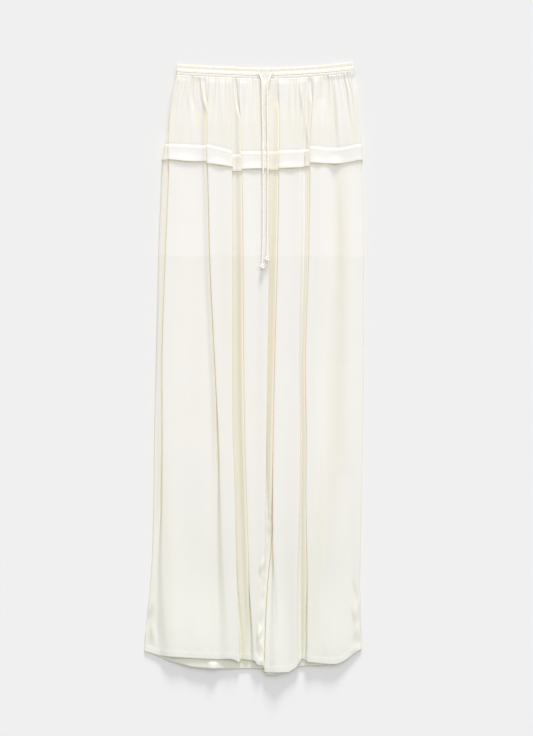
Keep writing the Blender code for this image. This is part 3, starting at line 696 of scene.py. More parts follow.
def lens_relief(rows, x, down):
    """Height that short hollows and swellings add."""
    total = np.zeros_like(x)
    for middle, x_middle, half_length, half_width, slant, height in rows:
        along = (down - middle) / half_length
        across = (x - x_middle - slant * (down - middle)) / half_width
        total += height * np.exp(-along ** 2 - across ** 2)
    return total


def gather_relief(waist_x, down):
    """Small uneven gathers that hang from the waist seam and fade over the hips."""
    random = np.random.RandomState(GATHER_SEED)
    strength = between(GATHERS, down)
    total = np.zeros_like(down)
    middle = CASING_ENDS[0] + 2.0
    while middle < CASING_ENDS[1] - 2.0:
        length = random.uniform(*GATHER_LENGTH)
        height = random.uniform(*GATHER_HEIGHT)
        width = random.uniform(*GATHER_WIDTH)
        drift = random.uniform(*GATHER_DRIFT)
        fade = 1.0 - smoothstep((down - GATHER_TOP) / length)
        spread = width * (1.0 + 0.012 * np.maximum(down - 30.0, 0.0))
        offset = (waist_x - middle - drift * (down - GATHER_TOP)) / spread
        total += height * fade * np.exp(-offset ** 2)
        middle += GATHER_STEP * random.uniform(*GATHER_SPACING)
    return np.minimum(total * strength, 2.0 * strength)


def inseam_relief(x, down):
    """Small puckers beside the inseam of the left leg, low down."""
    beside = np.exp(-((x - place("centre", down) + 7.0) / 4.0) ** 2)
    low = smoothstep((down - 780.0) / 120.0) * (1.0 - smoothstep((down - 1100.0) / 15.0))
    uneven = np.sin(down / 4.7 + 1.3 * np.sin(down / 19.0)) * (0.6 + 0.4 * np.sin(down / 31.0))
    return 0.6 * beside * low * uneven


def to_world(x, down, z):
    """Millimetres of the garment to metres of the frame."""
    return np.stack(((x - CENTRE_X) * MM, (LENGTH / 2.0 - down) * MM, z * MM), axis=-1)


def new_object(name, mesh, finish):
    mesh.materials.append(finish)
    mesh.shade_smooth()
    made = bpy.data.objects.new(name, mesh)
    bpy.context.scene.collection.objects.link(made)
    return made


def shell(name, outer, inner, finish, depth):
    """A closed thin shell between two grids of points, rows down and columns across.

    `depth` is the painted shade of each point, deeper in recesses and creases, for the cloth's
    colour.
    """
    rows, columns = outer.shape[:2]
    vertices = np.concatenate((outer.reshape(-1, 3), inner.reshape(-1, 3)))
    grid = np.arange(rows * columns).reshape(rows, columns)
    under = grid + rows * columns
    quads = np.stack((grid[:-1, :-1], grid[1:, :-1], grid[1:, 1:], grid[:-1, 1:]), axis=-1)
    faces = [quads.reshape(-1, 4), (quads + rows * columns)[..., ::-1].reshape(-1, 4)]
    for edge, far in ((grid[0], under[0]), (grid[-1][::-1], under[-1][::-1]),
                      (grid[::-1, 0], under[::-1, 0]), (grid[:, -1], under[:, -1])):
        faces.append(np.stack((edge[:-1], edge[1:], far[1:], far[:-1]), axis=-1))
    mesh = bpy.data.meshes.new(name)
    mesh.from_pydata(vertices.tolist(), [], np.concatenate(faces).tolist())
    # The depth attribute carries each point's painted shade.
    made = mesh.attributes.new("depth", "FLOAT", "POINT")
    values = np.tile(np.broadcast_to(depth, (rows, columns)).reshape(-1), 2)
    made.data.foreach_set("value", values.astype(np.float32))
    return new_object(name, mesh, finish)


def folded_shell(name, sheet, downs, relief, offset, thick, finish, seam=None, lift=0.0,
                 shade=0.0):
    """A shell on the folded line: its middle lies `offset` out, plus the relief.

    With a seam (its distance down and height), the folds flatten as they reach it.
    `lift` raises the cloth and `shade` is painted shade that deepens its colour, each by row
    and column.
    """
    x, z, normal_x, normal_z = sheet.at(downs)
    if seam is not None:
        seam_down, seam_height = seam
        z = z + 0.6 * (seam_height - z) * (1.0 - smoothstep((downs - seam_down) / 10.0))
    z = z + lift
    middle = offset + relief(x, downs)
    grids = []
    for side in (0.5, -0.5):
        away = middle + side * thick
        grids.append(to_world(x + normal_x * away, downs,
                              np.maximum(z + normal_z * away, LOWEST)))
    # Painted shade: the sheet's own, or the given shade where that is deeper.
    tone = np.maximum(sheet.read(sheet.recess_shade, downs), shade)
    return shell(name, grids[0], grids[1], finish, tone)


def spaced(start, end, step):
    """Distances from start to end, about `step` apart."""
    count = max(1, int(round((end - start) / step)))
    return np.linspace(start, end, count + 1)


def rows_between(starts, ends, shares):
    return starts[None, :] + (ends - starts)[None, :] * np.asarray(shares)[:, None]


def hem_rows(band, hem, depth, step):
    """Distances down a leg, close together at the hem's stitching and its edge."""
    marks = (-2.4, -1.2, -0.6, 0.0, 0.6, 1.2, 2.4)
    stitching = [hem - depth + mark for mark in marks]
    edge = [hem - back for back in (6.0, 3.0, 1.2, 0.45, 0.0)]
    upper = rows_between(band, hem - depth - 5.0, spaced(0.0, 1.0, step / 900.0))
    return np.vstack([upper] + stitching + edge)


def hem_thickness(downs, hem, depth, cloth, doubled):
    """Doubled cloth below the stitching, rounded off at the edge."""
    inside = smoothstep((downs - (hem - depth - 2.4)) / 4.8)
    thick = cloth + (doubled - cloth) * inside
    edge = np.clip((hem - downs) / 1.2, 0.0, 1.0)
    return thick * (0.45 + 0.55 * np.sqrt(1.0 - (1.0 - edge) ** 2))


def hem_lift(x, downs, hem):
    """How far the hem stands off the ground in places."""
    near = smoothstep((downs - hem + HEM_LIFT_LENGTH) / HEM_LIFT_LENGTH) ** 2
    return near * swellings(HEM_LIFTS, x)


def swellings(rows, x):
    """Height of the swellings in a row: each has a middle, half its width and a height."""
    total = 0.0 * x
    for middle, half_width, height in rows:
        total = total + height * np.exp(-((x - middle) / half_width) ** 2)
    return total


def lengths_along(line):
    """How far along a line of points each of them lies."""
    return np.concatenate(([0.0], np.cumsum(np.linalg.norm(np.diff(line, axis=0), axis=1))))


def stitches(name, line):
    """A row of small thread stitches along a line of points, as one joined mesh."""
    sizes = bpy.context.scene.trouser_sizes
    length, thickness = sizes.stitch, sizes.thread
    gap = sizes.stitch * THREAD_GAP
    lengths = lengths_along(line)
    count = int(lengths[-1] / (length + gap))
    made = bmesh.new()
    sides = 6
    shape = ((0.0, 0.25), (0.18, 0.9), (0.5, 1.0), (0.82, 0.9), (1.0, 0.25))
    for index in range(count):
        start = (index + 0.3) * (length + gap)
        rings = []
        for share, swell in shape:
            at = start + length * share
            centre = np.array([np.interp(at, lengths, line[:, axis]) for axis in range(3)])
            ahead = np.array([np.interp(at + 1e-4, lengths, line[:, axis])
                              for axis in range(3)])
            forward = ahead - centre
            forward /= np.linalg.norm(forward) + 1e-12
            side = np.cross(forward, (0.0, 1.0, 0.0))
            if np.linalg.norm(side) < 0.2:
                side = np.cross(forward, (0.0, 0.0, 1.0))
            side /= np.linalg.norm(side)
            up = np.cross(side, forward)
            radius = thickness / 2.0 * swell
            rings.append([made.verts.new(centre + radius * (
                side * math.cos(2 * math.pi * turn / sides)
                + up * math.sin(2 * math.pi * turn / sides))) for turn in range(sides)])
        for ring, following in zip(rings[:-1], rings[1:]):
            for turn in range(sides):
                after = (turn + 1) % sides
                made.faces.new((ring[turn], ring[after], following[after], following[turn]))
        made.faces.new(rings[0][::-1])
        made.faces.new(rings[-1])
    mesh = bpy.data.meshes.new(name)
    made.to_mesh(mesh)
    made.free()
    finish_piece(new_object(name, mesh, thread()))


def finish_piece(piece, nodes=()):
    """Puts a piece on the one body and hides the solids it stands for."""
    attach(piece, "root")
    if nodes:
        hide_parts(*nodes)


def set_inputs(tree, node, values):
    """Gives each input of a node, by name or number, a value or a link from a socket."""
    for key, value in values.items():
        if isinstance(value, bpy.types.NodeSocket):
            tree.links.new(value, node.inputs[key])
        else:
            node.inputs[key].default_value = value


def math_node(tree, operation, first, second):
    made = tree.nodes.new("ShaderNodeMath")
    made.operation = operation
    set_inputs(tree, made, {0: first, 1: second})
    return made


def noise(tree, where, scale, detail):
    made = tree.nodes.new("ShaderNodeTexNoise")
    set_inputs(tree, made, {"Vector": where, "Scale": scale, "Detail": detail})
    return made.outputs["Fac"]


def mix_colours(tree, factor, first, second, blend="MIX"):
    made = tree.nodes.new("ShaderNodeMix")
    made.data_type = "RGBA"
    made.blend_type = blend
    set_inputs(tree, made, {"Factor": factor, "A": first, "B": second})
    return made.outputs["Result"]


def new_group(name, inputs, outputs):
    """An empty node group with named sockets, and its input and output nodes."""
    group = bpy.data.node_groups.new(name, "ShaderNodeTree")
    for way, sockets in (("INPUT", inputs), ("OUTPUT", outputs)):
        for label, kind in sockets:
            group.interface.new_socket(label, in_out=way, socket_type=f"NodeSocket{kind}")
    return (group, group.nodes.new("NodeGroupInput").outputs,
            group.nodes.new("NodeGroupOutput"))


def grain_group():
    """Node group: the fine uneven surface of a cloth, as a height and a tone."""
    name = "Cloth grain"
    if name in bpy.data.node_groups:
        return bpy.data.node_groups[name]
    group, given, result = new_group(
        name, (("Grain", "Float"), ("Stretch", "Float"), ("Mottle", "Float")),
        (("Height", "Float"), ("Tone", "Float")))
    squeeze = group.nodes.new("ShaderNodeCombineXYZ")
    set_inputs(group, squeeze, {"X": 1.0, "Y": given["Stretch"], "Z": 1.0})
    coordinates = group.nodes.new("ShaderNodeTexCoord")
    stretched = group.nodes.new("ShaderNodeVectorMath")
    stretched.operation = "MULTIPLY"
    set_inputs(group, stretched, {0: coordinates.outputs["Object"],
                                  1: squeeze.outputs["Vector"]})
    where = stretched.outputs["Vector"]
    centred = math_node(group, "SUBTRACT", noise(group, where, 26.0, 2.0), 0.5)
    scaled = math_node(group, "MULTIPLY", centred.outputs["Value"], given["Mottle"])
    tone = math_node(group, "ADD", scaled.outputs["Value"], 1.0)
    set_inputs(group, result, {"Height": noise(group, where, given["Grain"], 3.0),
                               "Tone": tone.outputs["Value"]})
    return group


def lining_and_shade_tone(tree):
    """Lighter cloth over the short lining, and painted shade that makes the single cloth a
    little greyer lower down.
    """
    coordinates = tree.nodes.new("ShaderNodeTexCoord")
    parts = tree.nodes.new("ShaderNodeSeparateXYZ")
    set_inputs(tree, parts, {"Vector": coordinates.outputs["Object"]})
    along = tree.nodes.new("ShaderNodeMapRange")
    set_inputs(tree, along, {"Value": parts.outputs["Y"], "From Min": LENGTH / 2.0 * MM,
                             "From Max": -LENGTH / 2.0 * MM})
    tone = tree.nodes.new("ShaderNodeValToRGB")
    for index, (down, colour) in enumerate(LINING_AND_SHADE_TINTS):
        stop = tone.color_ramp.elements[index] if index < 2 else (
            tone.color_ramp.elements.new(down / LENGTH))
        stop.position = down / LENGTH
        stop.color = colour
    set_inputs(tree, tone, {"Fac": along.outputs["Result"]})
    return tone.outputs["Color"]


def painted_shade_group():
    """Node group: painted shade in the cloth's colour, its own colour at depth 0, that of the
    recesses at 1 and that of the creases at 2.
    """
    name = "Cloth painted shade"
    if name in bpy.data.node_groups:
        return bpy.data.node_groups[name]
    group, given, result = new_group(
        name, (("Depth", "Float"), ("Cloth", "Color"), ("Recess shade", "Color"),
               ("Crease shade", "Color")),
        (("Colour", "Color"),))
    below = mix_colours(group, given["Depth"], given["Cloth"], given["Recess shade"])
    past = math_node(group, "SUBTRACT", given["Depth"], 1.0)
    past.use_clamp = True
    deepest = mix_colours(group, past.outputs["Value"], below, given["Crease shade"])
    set_inputs(group, result, {"Colour": deepest})
    return group


def cloth_material(name, colours, roughness, sheen, grain, stretch, mottle, bump,
                   lined_and_shaded=False):
    """Woven cloth: grain, mottling, and painted shade in deeper colours for recesses and
    creases.
    """
    if name in bpy.data.materials:
        return bpy.data.materials[name]
    made = bpy.data.materials.new(name)
    made.use_nodes = True
    tree = made.node_tree
    surface = tree.nodes.new("ShaderNodeGroup")
    surface.node_tree = grain_group()
    set_inputs(tree, surface, {"Grain": grain, "Stretch": stretch, "Mottle": mottle})
    # The depth attribute holds each point's painted shade.
    depth = tree.nodes.new("ShaderNodeAttribute")
    depth.attribute_name = "depth"
    deepened = tree.nodes.new("ShaderNodeGroup")
    deepened.node_tree = painted_shade_group()
    set_inputs(tree, deepened, {"Depth": depth.outputs["Fac"]})
    for label, colour in zip(("Cloth", "Recess shade", "Crease shade"), colours):
        deepened.inputs[label].default_value = (*colour, 1.0)
    shade = mix_colours(tree, 1.0, deepened.outputs["Colour"], surface.outputs["Tone"],
                        "MULTIPLY")
    # The lining's tint, and the painted shade that greys the legs towards the hem.
    if lined_and_shaded:
        shade = mix_colours(tree, 1.0, shade, lining_and_shade_tone(tree), "MULTIPLY")
    raised = tree.nodes.new("ShaderNodeBump")
    set_inputs(tree, raised, {"Strength": bump, "Distance": 0.0002,
                              "Height": surface.outputs["Height"]})
    set_inputs(tree, tree.nodes["Principled BSDF"], {
        "Base Color": shade, "Roughness": roughness, "Specular IOR Level": 0.3,
        "Sheen Weight": sheen, "Sheen Roughness": 0.4, "Normal": raised.outputs["Normal"]})
    return made


def satin():
    colours = bpy.context.scene.trouser_colours
    return cloth_material("ivory_satin_cloth",
                          (colours.satin, colours.recess_shade, colours.crease_shade),
                          0.40, 0.12, 900.0, 0.12, 0.03, 0.25)


def cord_satin():
    colours = bpy.context.scene.trouser_colours
    return cloth_material("ivory_satin_cord",
                          (colours.cord, colours.recess_shade, colours.crease_shade),
                          0.45, 0.12, 1400.0, 0.4, 0.03, 0.25)


def crepe():
    colours = bpy.context.scene.trouser_colours
    return cloth_material("ivory_crepe_cloth",
                          (colours.crepe, colours.recess_shade, colours.crease_shade),
                          0.88, 0.10, 1600.0, 0.8, 0.02, 0.55, lined_and_shaded=True)


def thread():
    colours = bpy.context.scene.trouser_colours
    return cloth_material("sewing_thread", (colours.thread,) * 3,
                          0.6, 0.0, 4000.0, 0.2, 0.0, 0.3)


def back_sides(down):
    """Left and right edge of the back, inside the front's rolled sides."""
    left = place("side_left", down) + CLOTH + GAP + ROLL_TURN * INSEAM_ROLL
    right = place("side_right", down) - CLOTH - GAP - ROLL_TURN * SIDE_ROLL
    return left, right


def back_centre(down, away):
    inset = centre_gap(down) + leg_drop(down) * (CLOTH + GAP + ROLL_TURN * INSEAM_ROLL)
    return place("centre", down) + away * inset


def back_shell(name, downs, lefts, rights, level, thick, finish, depth=0.0):
    """A flat back piece between two edges, with as many points across as `downs` has, and
    `depth` as its painted shade.
    """
    shares = np.linspace(0.0, 1.0, downs.shape[1])[None, :]
    x = lefts + (rights - lefts) * shares
    under = to_world(x, downs, level + 0.0 * x)
    upper = to_world(x, downs, level + thick + 0.0 * x)
    return shell(name, upper, under, finish, depth + 0.0 * x)


class OBJECT_OT_waist_casings(bpy.types.Operator):
    """Make the ruched front and back casings with their two channels"""

    bl_idname = "object.trouser_waist_casings"
    bl_label = "Waist casings"

    def execute(self, context):
        half = context.scene.trouser_sizes.cloth / MM / 2.0
        x = spaced(*CASING_ENDS, 0.8)[:, None]
        down = spaced(0.0, CASING_HEIGHT, 0.45)[None, :]
        z = self.profile(x, down) + self.ruching(x, down)
        edge = np.clip(np.minimum(down, CASING_HEIGHT - down) / 0.8, 0.0, 1.0)
        rounded = half * (0.5 + 0.5 * edge)
        front = self.casing("waist_casing_front", x, down, CASING_HEIGHT, z + rounded,
                            z - rounded, self.tone(x, down))
        finish_piece(front, ["waistband_front"])

        down = spaced(0.0, CASING_HEIGHT, 0.7)[None, :]
        z = 1.3 + (0.25 * self.uneven(x * 0.8 + 4.0)
                   * np.sin(math.pi * down / CASING_HEIGHT))
        # Painted shade inside the back casing, deeper towards the front casing's top edge.
        tone = 0.4 + 0.7 * smoothstep((down - 2.0) / 4.0)
        back = self.casing("waist_casing_back", x, down, CASING_BACK_TOP, z + half, 0.1, tone)
        finish_piece(back, ["waistband_back"])
        return {"FINISHED"}

    @staticmethod
    def casing(name, x, down, above, upper, lower, tone):
        """A strip between two surfaces; its top lies so far `above` the waist line."""
        across = x + 0.0 * down
        line = waist_line(x) - above + down
        outer, inner = (to_world(across, line, z + 0.0 * across).transpose(1, 0, 2)
                        for z in (upper, lower))
        return shell(name, outer, inner, satin(), (tone + 0.0 * across).T)

    @staticmethod
    def uneven(x):
        """Uneven ripples along the casing, from -1 to 1."""
        return (0.55 * np.sin(x / 0.92 + 1.9 * np.sin(x / 7.3))
                + 0.45 * np.sin(x / 1.9 + 2.3 * np.sin(x / 13.0)))

    @staticmethod
    def profile(x, down):
        """Two rounded channels that stop either side of the drawstring's way out."""
        break_start, break_end = CHANNEL_BREAK
        ridge = 1.0 - (smoothstep((x - break_start + 0.5) / 0.9)
                       * (1.0 - smoothstep((x - break_end - 0.4) / 0.9)))
        z = CASING_BASE + 0.0 * (x + down)
        for middle, half_width, height in CHANNELS:
            across = np.clip(1.0 - ((down - middle) / half_width) ** 2, 0.0, None)
            z = z + height * ridge * np.sqrt(across) * 0.97
        return z + 1.7 * ridge * np.exp(-((down - CHANNEL_SEAM) / 1.6) ** 2)

    @staticmethod
    def seams(down):
        """1 at the casing's edges and between its channels, 0 on the channels."""
        return (np.exp(-((down - CHANNEL_SEAM) / 1.2) ** 2)
                + np.exp(-(down / 1.3) ** 2)
                + np.exp(-((down - CASING_HEIGHT) / 1.5) ** 2))

    def ruching(self, x, down):
        """Fine folds across the casing, deepest at its seams and between the channels."""
        slanted = x + 0.25 * np.sin(down / 2.3 + x / 14.0)
        return (0.10 + 0.2 * self.seams(down)) * self.uneven(slanted)

    def tone(self, x, down):
        """Painted shade in the seams, most of all between two of the small folds."""
        return np.clip(self.seams(down) * (0.9 - 0.4 * self.uneven(x)), 0.0, 2.0)


class OBJECT_OT_yoke(bpy.types.Operator):
    """Make the gathered satin yoke, front and back"""

    bl_idname = "object.trouser_yoke"
    bl_label = "Yoke"

    def execute(self, context):
        cloth = context.scene.trouser_sizes.cloth / MM
        sheet = FoldedSheet(0, len(STRETCHES) - 1, 1.0)
        top = waist_line(sheet.x[0]) - 1.6
        seam = sheet.lines[:, 0] + 3.5
        shares = np.concatenate((spaced(0.0, 0.3, 0.012), spaced(0.3, 1.0, 0.025)[1:]))
        downs = rows_between(top, seam, shares)
        gathers = gather_relief(sheet.x[0][None, :] + 0.0 * downs, downs)
        hollow = np.exp(-(gathers / 0.45) ** 2)
        fading = between(GATHERS, downs)
        ticks = 1.3 * np.exp(-((downs - top - 2.6) / 1.4) ** 2)

        def relief(x, down):
            calm = 1.0 - 0.75 * np.exp(-((x - 20.0) / 9.0) ** 2)
            creases = ridge_relief(YOKE_RIDGES, x, down)
            tucked = 0.8 * smoothstep((down - sheet.lines[:, 0] + 1.0) / 2.5)
            return calm * (gathers + creases) - tucked

        # Painted shade: in the hollows between the gathers, fading down the hips; in dark ticks
        # just under the casing; and along the yoke's soft creases.
        shade = np.minimum(hollow * (0.65 * fading + ticks), 1.1)
        shade = np.maximum(shade, ridge_relief(YOKE_SHADES, sheet.at(downs)[0], downs))
        front = folded_shell("yoke_satin_front", sheet, downs, relief, 0.0, cloth, satin(),
                             seam=(top + 0.6, 5.3), shade=shade)
        finish_piece(front, ["yoke_front"])

        shares = spaced(0.0, 1.0, 0.05)[:, None]
        start = CASING_BACK_TOP - CASING_HEIGHT - GAP
        across = np.linspace(0.0, 1.0, YOKE_BACK_POINTS)[None, :]
        left, right = back_sides(np.array([24.0]))
        waist = waist_line(left + (right - left) * across) - start
        downs = waist + (BACK_SEAM - GAP - waist) * shares
        lefts, rights = back_sides(downs)
        back = back_shell("yoke_satin_back", downs, lefts, rights, 0.2, cloth, satin())
        finish_piece(back, ["yoke_back"])
        return {"FINISHED"}


class OBJECT_OT_hip_band(bpy.types.Operator):
    """Make the crepe band over the top of the legs, with its free lower edge"""

    bl_idname = "object.trouser_hip_band"
    bl_label = "Hip band"

    def execute(self, context):
        sizes = context.scene.trouser_sizes
        cloth = sizes.cloth / MM
        depth = sizes.band_stitch / MM
        sheet = FoldedSheet(0, len(STRETCHES) - 1, 2.0)
        seam = sheet.lines[:, 0] + GAP / 2.0
        edge = sheet.lines[:, 1]
        top = [seam + back for back in (0.0, 0.5, 1.2, 3.0)]
        stitching = [seam + depth + mark for mark in (-1.2, -0.6, 0.0, 0.6, 1.2)]
        middle = rows_between(seam + depth + 3.5, edge - 4.0, spaced(0.0, 1.0, 0.2))
        end = [edge - back for back in (2.5, 1.2, 0.5, 0.0)]
        downs = np.vstack(top + stitching + [middle] + end)
        sunk = 0.6 * (1.0 - smoothstep((downs - seam) / 3.0))
        groove = 0.10 * np.exp(-((downs - seam - depth) / 0.8) ** 2)

        def relief(x, down):
            near = smoothstep((down - edge + 16.0) / 16.0)
            lift = 0.25 + swellings(BAND_LIFTS, x)
            return lift * near - sunk - groove + 0.12 * np.sin(x / 6.0) * near

        thick = cloth + 0.5 * smoothstep((downs - edge + 6.0) / 2.0)
        front = folded_shell("hip_band_crepe_front", sheet, downs, relief, BAND_LEVEL, thick,
                             crepe())
        finish_piece(front, ["hip_band_front"])

        rows = spaced(BACK_SEAM, BACK_BAND_END, 3.0)[:, None]
        lefts, rights = back_sides(rows)
        back = back_shell("hip_band_crepe_back", rows + np.zeros(BACK_POINTS), lefts, rights,
                          0.1, 0.8, crepe())
        finish_piece(back, ["hip_band_back"])

        where = (seam + depth)[None, :]
        stitches("hip_band_stitching",
                 sheet.line(where, BAND_LEVEL + 0.5 * cloth - STITCH_DEPTH, 0.0))
        return {"FINISHED"}


class OBJECT_OT_legs(bpy.types.Operator):
    """Make the pleated crepe legs, front and back, with turned and stitched hems"""

    bl_idname = "object.trouser_legs"
    bl_label = "Legs"

    def execute(self, context):
        last = len(STRETCHES) - 1
        self.front(context, "left", 0, LEFT_STRETCHES - 1, (0.42, 0.96))
        self.front(context, "right", LEFT_STRETCHES, last, (0.30, 0.96))
        self.back(context, "left", BACK_HEM_LEFT, (0.26, 0.96))
        self.back(context, "right", BACK_HEM_RIGHT, (0.18, 0.97))
        return {"FINISHED"}

    def front(self, context, side, first, last, cut):
        sizes = context.scene.trouser_sizes
        cloth = sizes.cloth / MM
        depth = sizes.hem_depth / MM
        sheet = FoldedSheet(first, last, 2.8)
        seam, band, hem = sheet.lines.T
        top = rows_between(seam + GAP / 2.0, band - 5.0, (0.0, 0.4, 0.8))
        downs = np.vstack((top, hem_rows(band, hem, depth, 5.6)))

        def relief(x, down):
            below = smoothstep((down - band) / 30.0)
            groove = 0.07 * np.exp(-((down - hem + depth) / 0.8) ** 2)
            ripple = np.sin(x / 3.1 + 1.4 * np.sin(x / 11.0))
            pulled = np.exp(-((down - hem + depth) / 6.0) ** 2)
            total = ridge_relief(LEG_RIDGES, x, down) + lens_relief(LEG_LENSES, x, down)
            if side == "left":
                total = total + inseam_relief(x, down)
            return below * total - groove + 0.16 * ripple * pulled

        thick = hem_thickness(downs, hem, depth, cloth, sizes.hem_cloth / MM)
        across = sheet.at(downs)[0]
        # Painted shadow under the band's free lower edge, and the legs' stripes of painted
        # shade.
        band_shadow = 1.8 * np.exp(-(np.maximum(downs - band - 0.8, 0.0) / 1.8) ** 2)
        shade = np.maximum(band_shadow, ridge_relief(LEG_SHADES, across, downs))
        made = folded_shell(f"leg_crepe_front_{side}", sheet, downs, relief, 0.0, thick,
                            crepe(), lift=hem_lift(across, downs, hem), shade=shade)
        finish_piece(made, [f"leg_front_{side}"])

        where = (hem - depth)[None, :]
        across = sheet.at(where)[0]
        away = relief(across, where) + 0.5 * cloth - HEM_STITCH_DEPTH
        stitches(f"hem_stitching_front_{side}",
                 sheet.line(where, away, hem_lift(across, where, hem)))

    def back(self, context, side, hem_line, cut):
        sizes = context.scene.trouser_sizes
        cloth = sizes.cloth / MM
        depth = sizes.hem_depth / MM
        shares = np.linspace(0.0, 1.0, BACK_POINTS)
        hem = between(hem_line, shares)
        start = np.full_like(hem, BACK_BAND_END + 1.0)
        downs = np.vstack([rows_between(np.full_like(hem, BACK_SEAM), start, (0.0, 0.5)),
                           rows_between(start, start + BACK_FALL, spaced(0.0, 0.9, 0.15)),
                           hem_rows(start + BACK_FALL, hem, depth, 14.0)])
        level = 0.15 + 1.15 * (1.0 - smoothstep((downs - BACK_BAND_END - 1.0) / BACK_FALL))
        outer_left, outer_right = back_sides(downs)
        if side == "left":
            lefts, rights = outer_left, back_centre(downs, -1.0)
        else:
            lefts, rights = back_centre(downs, 1.0), outer_right
        thick = hem_thickness(downs, hem, depth, cloth, sizes.hem_cloth / MM)
        start, end, height = BACK_HEM_TURN
        across = lefts + (rights - lefts) * shares[None, :]
        turned = (smoothstep((across - start) / 8.0) * smoothstep((end - across) / 8.0)
                  * smoothstep((downs - hem + 20.0) / 16.0)) if side == "left" else 0.0
        level = level + height * turned + BACK_HEM_LIFT * hem_lift(across, downs, hem)
        # Painted shadow of the front's hem on the back's hem, left off where the hem turns up.
        tone = BACK_HEM_SHADE * smoothstep((downs - hem + 30.0) / 10.0) * (1.0 - turned)
        made = back_shell(f"leg_crepe_back_{side}", downs, lefts, rights, level, thick,
                          crepe(), tone)
        finish_piece(made, [f"leg_back_{side}"])


